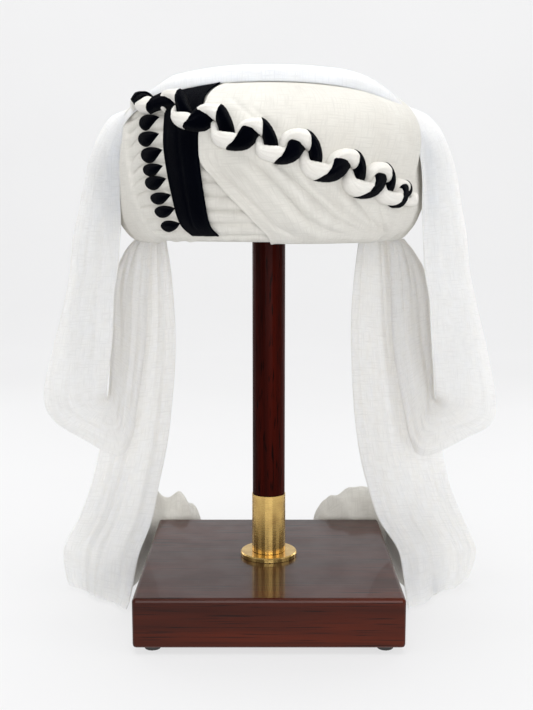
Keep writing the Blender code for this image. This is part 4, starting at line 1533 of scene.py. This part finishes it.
@dataclass
class HangingCloth:
    """Cloth over the crown with a hanging loop at each side, as one sheet."""

    skin: RingSkin
    finishes: Finishes
    cloth: float = 0.0014
    loop_reach: float = 0.2030
    loop_depth: float = 0.0550
    drape_depth: float = 0.1050
    drape_front: float = 0.1105
    drape_lap: float = 0.0052
    drape_tuck: float = 0.0034
    drape_sag: float = 0.0080
    drape_rise: float = 0.0250
    cols: int = 32
    loop_steps: int = 140
    drape_steps: int = 60
    start_share: float = 0.14
    belly: tuple = (0.02, 0.06)
    belly_span: tuple = (0.25, 0.55)
    ridge_depth: float = 0.040
    lip: tuple = (0.03, 0.0010)
    crinkles: tuple = (((7.0, 9.0, 2.0), 0.0022), ((19.0, 14.0, 5.0), 0.0009))
    tip_start: tuple = (0.30, 0.44)
    tip_end: tuple = (0.62, 0.74)
    tip_calm: float = 0.85
    back_share: float = 0.57
    drape_fold: float = 0.0012
    drape_fold_count: float = 2.5
    arch_power: float = 0.6
    sag_start: float = 0.08
    sag_power: float = 0.7
    side_blend: float = 0.16
    rest_front: float = 0.62
    rest_back: float = 0.08
    rest_power: float = 1.6
    tuck_width: float = 0.035
    seam_reach: tuple = (14, 10)
    seam_passes: int = 24
    left: tuple = (
        (-0.193, -0.95, 1.815, 0.034, 0.84, 1.960), (-0.176, -1.02, 1.725, 0.222, 0.82, 1.872),
        (-0.152, -1.04, 1.593, 0.367, 0.80, 1.676), (-0.140, -1.04, 1.419, 0.474, 0.76, 1.434),
        (-0.122, -1.00, 1.147, 0.569, 0.64, 1.147), (-0.090, -0.92, 0.955, 0.653, 0.56, 0.939),
        (-0.008, -0.80, 0.849, 0.759, 0.48, 0.816), (0.059, -0.62, 0.716, 0.894, 0.38, 0.697),
        (0.132, -0.36, 0.615, 0.983, 0.20, 0.577), (0.166, -0.10, 0.580, 0.846, 0.06, 0.512),
        (0.177, 0.04, 0.571, 0.474, 0.00, 0.463), (0.182, 0.14, 0.577, 0.054, 0.02, 0.416),
        (0.177, 0.22, 0.593, -0.109, 0.10, 0.463), (0.166, 0.26, 0.639, -0.176, 0.16, 0.558),
        (0.143, 0.28, 0.762, -0.288, 0.18, 0.721), (0.104, 0.28, 0.884, -0.310, 0.18, 0.857),
        (-0.030, 0.28, 0.961, -0.333, 0.18, 0.952), (-0.176, 0.28, 0.9988, -0.355, 0.18, 0.9988),
    )
    right: tuple = (
        (-0.193, -0.95, 1.805, 0.048, 0.84, 1.975), (-0.170, -1.02, 1.715, 0.244, 0.82, 1.879),
        (-0.128, -1.04, 1.593, 0.406, 0.80, 1.691), (-0.100, -1.04, 1.419, 0.524, 0.76, 1.457),
        (-0.072, -1.00, 1.147, 0.608, 0.64, 1.170), (-0.036, -0.92, 0.955, 0.692, 0.56, 0.944),
        (0.054, -0.80, 0.849, 0.787, 0.48, 0.822), (0.115, -0.62, 0.716, 0.910, 0.38, 0.697),
        (0.194, -0.36, 0.607, 1.017, 0.20, 0.571), (0.227, -0.10, 0.577, 0.950, 0.06, 0.506),
        (0.244, 0.04, 0.569, 0.642, 0.00, 0.468), (0.250, 0.14, 0.571, 0.132, 0.02, 0.416),
        (0.244, 0.22, 0.588, -0.042, 0.10, 0.452), (0.233, 0.26, 0.645, -0.142, 0.16, 0.551),
        (0.194, 0.28, 0.762, -0.277, 0.18, 0.721), (0.138, 0.28, 0.893, -0.310, 0.18, 0.871),
        (-0.008, 0.28, 0.961, -0.322, 0.18, 0.952), (-0.148, 0.28, 0.9988, -0.355, 0.18, 0.9988),
    )
    crest: tuple = (
        (-1.000, 0.225), (-0.890, 0.165), (-0.740, 0.100), (-0.590, 0.062), (-0.310, 0.012), (0.000, 0.000),
        (0.310, 0.010), (0.590, 0.044), (0.740, 0.082), (0.890, 0.152), (1.000, 0.220),
    )
    folds: tuple = ((0.22, 0.055, -0.10, 1.0), (0.47, 0.075, 0.08, 0.8), (0.68, 0.050, -0.04, 0.9),
                    (0.86, 0.060, 0.03, 0.5))

    def edge_point(self, side: int, x: float, y: float, z: float) -> Vector:
        """Point of a loop's edge from its table shares."""
        spot = self.skin.half_width + x * (self.loop_reach - self.skin.half_width)
        level = self.skin.bottom * min(z, 1.0) + self.skin.height * max(z - 1.0, 0.0)
        return Vector((side * spot, y * self.loop_depth, level))

    def loop_edges(self, side: int, table: tuple) -> list[tuple[Vector, Vector]]:
        """Both edges of a loop, from the crown round the tip to the knot.

        Args:
            side: -1 left, 1 right.
            table: Rows of the loop's edges.

        Returns:
            Inner and outer edge points.
        """
        last = len(table) - 1
        edges = []
        for k in range(self.loop_steps + 1):
            value = row_at(table, last * k / self.loop_steps)
            edges.append((self.edge_point(side, *value[:3]), self.edge_point(side, *value[3:])))
        return edges

    def loop_rows(self, side: int, table: tuple) -> list[list[Vector]]:
        """Rows of cloth of a loop with their folds.

        Args:
            side: -1 left, 1 right.
            table: Rows of the loop's edges.

        Returns:
            Rows of points, from the crown to the knot.
        """
        edges = self.loop_edges(side, table)
        lip_width, lip_depth = self.lip
        belly_least, belly_more = self.belly
        rows = []
        for k in range(len(edges)):
            inner, outer, normal = edge_frame(edges, k)
            width = (outer - inner).length
            u = k / (len(edges) - 1)
            start = smooth_step(0.0, self.start_share, u)
            row = []
            for c in range(self.cols + 1):
                v = c / self.cols
                belly = math.sin(math.pi * v) * width * (belly_least + belly_more * smooth_step(*self.belly_span, u))
                ridge = sum(share * bell(v - at - drift * u, spread) for at, spread, drift, share in self.folds)
                lips = bell(v, lip_width) + bell(1.0 - v, lip_width)
                turn = 1.0 - self.tip_calm * smooth_step(*self.tip_start, u) * (1.0 - smooth_step(*self.tip_end, u))
                crinkle = sum(noise_at(wave, v, u, side) * depth for wave, depth in self.crinkles)
                lift = belly + ridge * width * self.ridge_depth * turn + crinkle - lips * lip_depth
                row.append(inner.lerp(outer, v) - normal * side * lift * start)
            rows.append(row)
        return rows

    def drape_rows(self, left: list[Vector], right: list[Vector]) -> list[list[Vector]]:
        """Rows of cloth over the crown, between the first rows of both loops.

        Args:
            left: First row of the left loop.
            right: First row of the right loop.

        Returns:
            Rows of points, from left to right.
        """
        front, back = -self.drape_front, self.drape_depth * self.back_share
        rows = []
        for r in range(1, self.drape_steps):
            u = r / self.drape_steps
            row = []
            for c in range(self.cols + 1):
                v = c / self.cols
                middle = math.sin(math.pi * u) ** self.arch_power
                start, end = left[c], right[c]
                x = start.x + (end.x - start.x) * u
                near = start if u < 0.5 else end
                y = near.y + (front + (back - front) * v - near.y) * middle
                fall = table_value(self.crest, x / self.skin.half_width, 1) * self.skin.height
                arch = math.sin(math.pi * (self.sag_start + (1.0 - 2.0 * self.sag_start) * v)) ** self.sag_power
                sag = self.drape_sag * (1.0 - arch)
                wander = v + 0.06 * math.sin(5.0 * u)
                folds = self.drape_fold * (1.0 - math.cos(FULL_TURN * self.drape_fold_count * wander))
                hang = self.skin.top + self.drape_rise - self.cloth / 2 - fall - sag - folds
                inside = smooth_step(0.0, self.side_blend, min(u, 1.0 - u))
                hang = near.z + (hang - near.z) * inside
                lap = self.drape_lap * (1.0 - smooth_step(0.05, 0.3, v))
                lap -= self.drape_tuck * bell(v, self.tuck_width)
                rest = self.skin.top_height(x, y) + self.cloth + lap
                edge = max(0.0, 1.0 - v / self.rest_front, 1.0 - (1.0 - v) / self.rest_back)
                level = max(hang - (hang - rest) * edge ** self.rest_power * inside, rest)
                row.append(Vector((x, y, level)))
            rows.append(row)
        return rows

    @staticmethod
    def relax(rows: list[list[Vector]], low: int, high: int, passes: int) -> None:
        """Smooths the cloth along its length between two rows.

        Args:
            rows: Rows of points.
            low: First row to smooth.
            high: Last row to smooth.
            passes: Number of passes.
        """
        for _ in range(passes):
            for c in range(len(rows[0])):
                old = [rows[r][c].copy() for r in range(low - 1, high + 2)]
                for k in range(1, len(old) - 1):
                    rows[low - 1 + k][c] = old[k] * 0.5 + (old[k - 1] + old[k + 1]) * 0.25

    def build(self) -> None:
        """Builds and dresses the sheet."""
        left = self.loop_rows(-1, self.left)
        right = self.loop_rows(1, self.right)
        points = list(reversed(left)) + self.drape_rows(left[0], right[0]) + right
        before, after = self.seam_reach
        for seam in (len(left) - 1, len(left) + self.drape_steps - 1):
            self.relax(points, seam - before, seam + after, self.seam_passes)
        piece = ClothBuilder.grid("hanging_cloth", points)
        ClothBuilder.finish(piece, self.cloth, 1)
        # The sheet takes the copy of the cotton that is painted lighter, as painted light.
        ClothBuilder.place(piece, Slot.WHITE_COTTON, self.finishes.get("thin"),
                           "crown_drape", "loop_left", "loop_right")


@dataclass
class HangingEnds:
    """Pleated ends of the cloth beside the base, and their last length on the floor."""

    skin: RingSkin
    finishes: Finishes
    cloth: float = 0.0016
    base_half: float = 0.110
    clearance: float = 0.0045
    loop_reach: float = 0.2030
    depth: float = 0.0400
    heap_height: float = 0.0680
    heap_width: float = 0.0390
    tail_faces: tuple = (108, 72)
    tail_fade: float = 2.5
    pleat: tuple = ((6.5, 1.1, 3.1), 0.0034)
    thread: tuple = ((17.0, 1.7, 7.3), 0.0010)
    broad: tuple = (1.9, 0.0026)
    heap_faces: tuple = (80, 40)
    heap_near: float = 0.2
    heap_end_rows: float = 5.0
    heap_end_width: float = 0.35
    heap_round: tuple = (0.75, 0.8)
    heap_clear: float = 0.0012
    heap_crease: tuple = ((2.3, 0.7, 4.0), 0.38)
    heap_small: tuple = ((8.0, 2.1, 9.0), 0.04)
    heap_full: float = 0.08
    left: tuple = (
        (-0.240, 0.80, 0.999, 0.040, 1.05, 0.999), (-0.290, 0.80, 0.900, 0.140, 1.05, 0.880),
        (-0.320, 0.80, 0.770, 0.215, 1.05, 0.750), (-0.316, 0.80, 0.660, 0.290, 1.05, 0.640),
        (-0.280, 0.78, 0.540, 0.380, 1.05, 0.510), (-0.230, 0.74, 0.430, 0.470, 1.05, 0.400),
        (-0.150, 0.62, 0.320, 0.560, 1.05, 0.300), (-0.080, 0.46, 0.220, 0.680, 1.05, 0.210),
        (0.030, 0.20, 0.140, 0.830, 1.02, 0.130), (0.070, -0.10, 0.080, 0.850, 1.05, 0.085),
        (0.100, -0.36, 0.034, 0.830, 1.06, 0.034), (0.130, -0.50, 0.0085, 0.800, 1.05, 0.0085),
    )
    right: tuple = (
        (-0.360, 0.80, 0.999, 0.080, 1.05, 0.999), (-0.405, 0.80, 0.890, 0.180, 1.05, 0.880),
        (-0.430, 0.80, 0.770, 0.270, 1.05, 0.750), (-0.415, 0.80, 0.630, 0.360, 1.05, 0.620),
        (-0.385, 0.78, 0.510, 0.440, 1.05, 0.500), (-0.330, 0.74, 0.400, 0.520, 1.05, 0.390),
        (-0.260, 0.66, 0.320, 0.600, 1.05, 0.300), (-0.150, 0.50, 0.225, 0.730, 1.05, 0.210),
        (0.030, 0.20, 0.150, 0.860, 1.05, 0.130), (0.070, -0.10, 0.090, 0.880, 1.15, 0.090),
        (0.090, -0.36, 0.040, 0.860, 1.35, 0.040), (0.110, -0.50, 0.0085, 0.830, 1.45, 0.0085),
    )
    heap_left: tuple = (
        (1.468, 0.150, 0.40, 0.22), (1.390, 0.270, 0.66, 0.38), (1.343, 0.500, 0.84, 0.52),
        (1.343, 0.773, 0.96, 0.68), (1.322, 0.982, 1.00, 0.84), (1.225, 1.155, 1.00, 0.96),
        (1.024, 1.224, 1.00, 1.00), (0.860, 1.228, 0.98, 0.94), (0.740, 1.222, 0.86, 0.80),
        (0.660, 1.216, 0.66, 0.60), (0.610, 1.212, 0.40, 0.30),
    )
    heap_right: tuple = (
        (1.457, 0.169, 0.40, 0.22), (1.397, 0.290, 0.66, 0.38), (1.343, 0.500, 0.84, 0.52),
        (1.343, 0.773, 0.96, 0.68), (1.322, 0.982, 1.00, 0.84), (1.225, 1.155, 1.00, 0.94),
        (1.000, 1.228, 1.00, 0.97), (0.780, 1.232, 1.00, 0.98), (0.600, 1.228, 0.94, 0.88),
        (0.470, 1.220, 0.72, 0.68), (0.390, 1.216, 0.40, 0.34),
    )

    def build_tail(self, name: str, side: int, table: tuple, node: str) -> bpy.types.Object:
        """Pleated end that hangs to the floor.

        Args:
            name: Name of the piece.
            side: -1 left, 1 right.
            table: Rows of its edges.
            node: CAD node that it stands for.

        Returns:
            The piece.
        """
        last = len(table) - 1
        steps, cols = self.tail_faces
        (pleat_wave, pleat_depth), (thread_wave, thread_depth) = self.pleat, self.thread
        broad_count, broad_depth = self.broad
        beyond = self.loop_reach - self.base_half
        edges = []
        for k in range(steps + 1):
            value = row_at(table, last * k / steps)
            pair = []
            for x, y, z in (value[:3], value[3:]):
                spot = self.base_half + self.clearance + x * beyond
                pair.append(Vector((side * spot, y * self.depth, z * self.skin.bottom)))
            edges.append(tuple(pair))
        points = []
        for k in range(steps + 1):
            inner, outer, normal = edge_frame(edges, k)
            u = k / steps
            row = []
            for c in range(cols + 1):
                v = c / cols
                fade = min(1.0, math.sin(math.pi * v) * self.tail_fade)
                fine = 0.5 - 2.4 * abs(noise_at(pleat_wave, v, u, side))
                broad = math.sin(FULL_TURN * broad_count * v + 1.2 * u + 0.6)
                lift = (pleat_depth * fine * (1.0 - 0.45 * u) + thread_depth * noise_at(thread_wave, v, u, side)
                        + broad_depth * broad * (0.4 + 0.6 * u)) * fade
                row.append(inner.lerp(outer, v) + normal * lift)
            points.append(row)
        piece = ClothBuilder.grid(name, points)
        ClothBuilder.finish(piece, self.cloth, 1)
        # The hanging end takes the copy of the cotton that is painted lighter, as painted light.
        ClothBuilder.place(piece, Slot.WHITE_COTTON, self.finishes.get("thin"), node)
        return piece

    def build_heap(self, name: str, side: int, table: tuple, node: str) -> bpy.types.Object:
        """Soft folded length on the floor round a back corner of the base.

        Args:
            name: Name of the piece.
            side: -1 left, 1 right.
            table: Rows of its path and size.
            node: CAD node that it stands for.

        Returns:
            The piece.
        """
        last = len(table) - 1
        steps, cols = self.heap_faces
        (crease_wave, crease_depth), (small_wave, small_depth) = self.heap_crease, self.heap_small
        side_power, top_power = self.heap_round
        points = []
        for k in range(steps + 1):
            t = last * k / steps
            x, y, width, height = row_at(table, t)
            after = row_at(table, min(t + self.heap_near, last))
            before = row_at(table, max(t - self.heap_near, 0.0))
            ahead = Vector((after[0] - before[0], after[1] - before[1], 0.0)).normalized()
            out = Vector((ahead.y, -ahead.x, 0.0))
            reach = self.base_half * min(x, 1.0) + (self.loop_reach - self.base_half) * max(x - 1.0, 0.0)
            spot = Vector((reach, y * self.base_half, 0.0))
            close = min(1.0, k / self.heap_end_rows, (steps - k) / self.heap_end_rows) ** 0.5
            half = self.heap_width / 2 * width * (self.heap_end_width + (1.0 - self.heap_end_width) * close)
            tall = self.heap_height * height * close
            row = []
            for c in range(cols + 1):
                v = c / cols
                a = math.pi * v
                wide = math.copysign(abs(math.cos(a)) ** side_power, math.cos(a))
                up = math.sin(a) ** top_power
                crease = crease_depth * abs(noise_at(crease_wave, v, t, side))
                small = small_depth * abs(noise_at(small_wave, v, t, side))
                wrinkle = 1.0 + (self.heap_full - crease - small) * math.sin(a) ** 0.6
                rise = Vector((0.0, 0.0, self.heap_clear + tall * up * wrinkle))
                place = spot + out * half * wide * wrinkle + rise
                row.append(Vector((side * place.x, place.y, place.z)))
            points.append(row)
        piece = ClothBuilder.grid(name, points)
        ClothBuilder.finish(piece, self.cloth, 1)
        ClothBuilder.place(piece, Slot.WHITE_COTTON, self.finishes.get("white"), node)
        return piece

    def build(self) -> None:
        """Builds and dresses both ends."""
        self.build_tail("hanging_end_left", -1, self.left, "tail_left")
        self.build_tail("hanging_end_right", 1, self.right, "tail_right")
        self.build_heap("floor_end_left", -1, self.heap_left, "tail_end_left")
        self.build_heap("floor_end_right", 1, self.heap_right, "tail_end_right")


@dataclass
class Studio:
    """Plain pale floor and backdrop, soft lights and the photograph's camera."""

    finishes: Finishes
    camera_place: tuple = (-0.002, -0.9024, 0.3517)
    camera_tilt: float = 7.77
    lens: float = 52.48
    floor_size: float = 9.0
    wall_at: float = 2.6
    wall_height: float = 4.0
    cove: float = 0.9
    floor_faces: tuple = (4, 40)
    sky_color: tuple = (1.0, 0.985, 0.96, 1.0)
    sky_strength: float = 0.34
    sensor: float = 36.0
    lamps: tuple = (
        ("top_softbox", (-0.05, -0.10, 1.70), (0.0, 0.0, 0.40), 1.2, 23.0),
        ("left_softbox", (-1.55, -0.75, 0.75), (0.0, 0.0, 0.28), 1.1, 4.0),
        ("right_softbox", (1.55, -0.65, 0.75), (0.0, 0.0, 0.28), 1.1, 7.0),
        ("front_fill", (0.20, -2.20, 0.30), (0.0, 0.0, 0.25), 1.6, 31.0),
        ("left_glow", (-0.95, 0.90, 0.40), (-0.13, 0.02, 0.22), 0.6, 2.0),
        ("right_glow", (0.95, 0.90, 0.40), (0.13, 0.02, 0.22), 0.6, 2.0),
        ("backdrop_left", (-0.7, 1.7, 1.35), (-0.6, 2.6, 1.0), 0.8, 4.0),
        ("backdrop_right", (0.7, 1.7, 1.35), (0.6, 2.6, 1.0), 0.8, 4.0),
    )

    def build_floor(self) -> None:
        """Floor that curves up into the backdrop."""
        cols, rows = self.floor_faces
        half = self.floor_size / 2
        path = [(-half, 0.0), (self.wall_at - self.cove, 0.0)]
        for k in range(1, rows - 2):
            a = math.pi / 2 * k / (rows - 2)
            path.append((self.wall_at - self.cove + self.cove * math.sin(a), self.cove * (1.0 - math.cos(a))))
        path.append((self.wall_at, self.cove))
        path.append((self.wall_at, self.wall_height))
        points = [[Vector((-half + self.floor_size * c / cols, y, z)) for c in range(cols + 1)] for y, z in path]
        floor = ClothBuilder.grid("studio_floor", points)
        floor.data.materials.clear()
        floor.data.materials.append(self.finishes.get("paper"))

    def build_lights(self) -> None:
        """Soft lamps and an even pale surround."""
        for name, place, aim, size, power in self.lamps:
            light = bpy.data.lights.new(name, "AREA")
            light.shape = "DISK"
            light.size = size
            light.energy = power
            lamp = bpy.data.objects.new(name, light)
            bpy.context.scene.collection.objects.link(lamp)
            lamp.location = place
            lamp.rotation_euler = (Vector(aim) - Vector(place)).to_track_quat("-Z", "Y").to_euler()
        world = bpy.data.worlds.new("studio_world")
        bpy.context.scene.world = world
        world.use_nodes = True
        sky = world.node_tree.nodes["Background"]
        sky.inputs["Color"].default_value = self.sky_color
        sky.inputs["Strength"].default_value = self.sky_strength

    def build_camera(self) -> None:
        """Camera at the photograph's viewing angle."""
        data = bpy.data.cameras.new("photo_camera")
        data.lens = self.lens
        data.sensor_width = self.sensor
        data.sensor_fit = "AUTO"
        camera = bpy.data.objects.new("photo_camera", data)
        bpy.context.scene.collection.objects.link(camera)
        camera.location = self.camera_place
        camera.rotation_euler = (math.radians(90.0 - self.camera_tilt), 0.0, 0.0)
        bpy.context.scene.camera = camera
        bpy.context.scene.view_settings.view_transform = "Standard"

    def build(self) -> None:
        """Builds the studio."""
        self.build_floor()
        self.build_lights()
        self.build_camera()


def main() -> None:
    """Builds every piece in order."""
    logging.basicConfig(level=logging.INFO, format="%(message)s")
    finishes = Finishes(EffectGroups())
    skin = RingSkin()
    Studio(finishes).build()
    DisplayStand(finishes).dress()
    WoundRing(skin, finishes).build()
    FrontWraps(skin, finishes).build()
    Plait(skin, finishes).build()
    HangingCloth(skin, finishes).build()
    HangingEnds(skin, finishes).build()


if __name__ == "__main__":
    main()
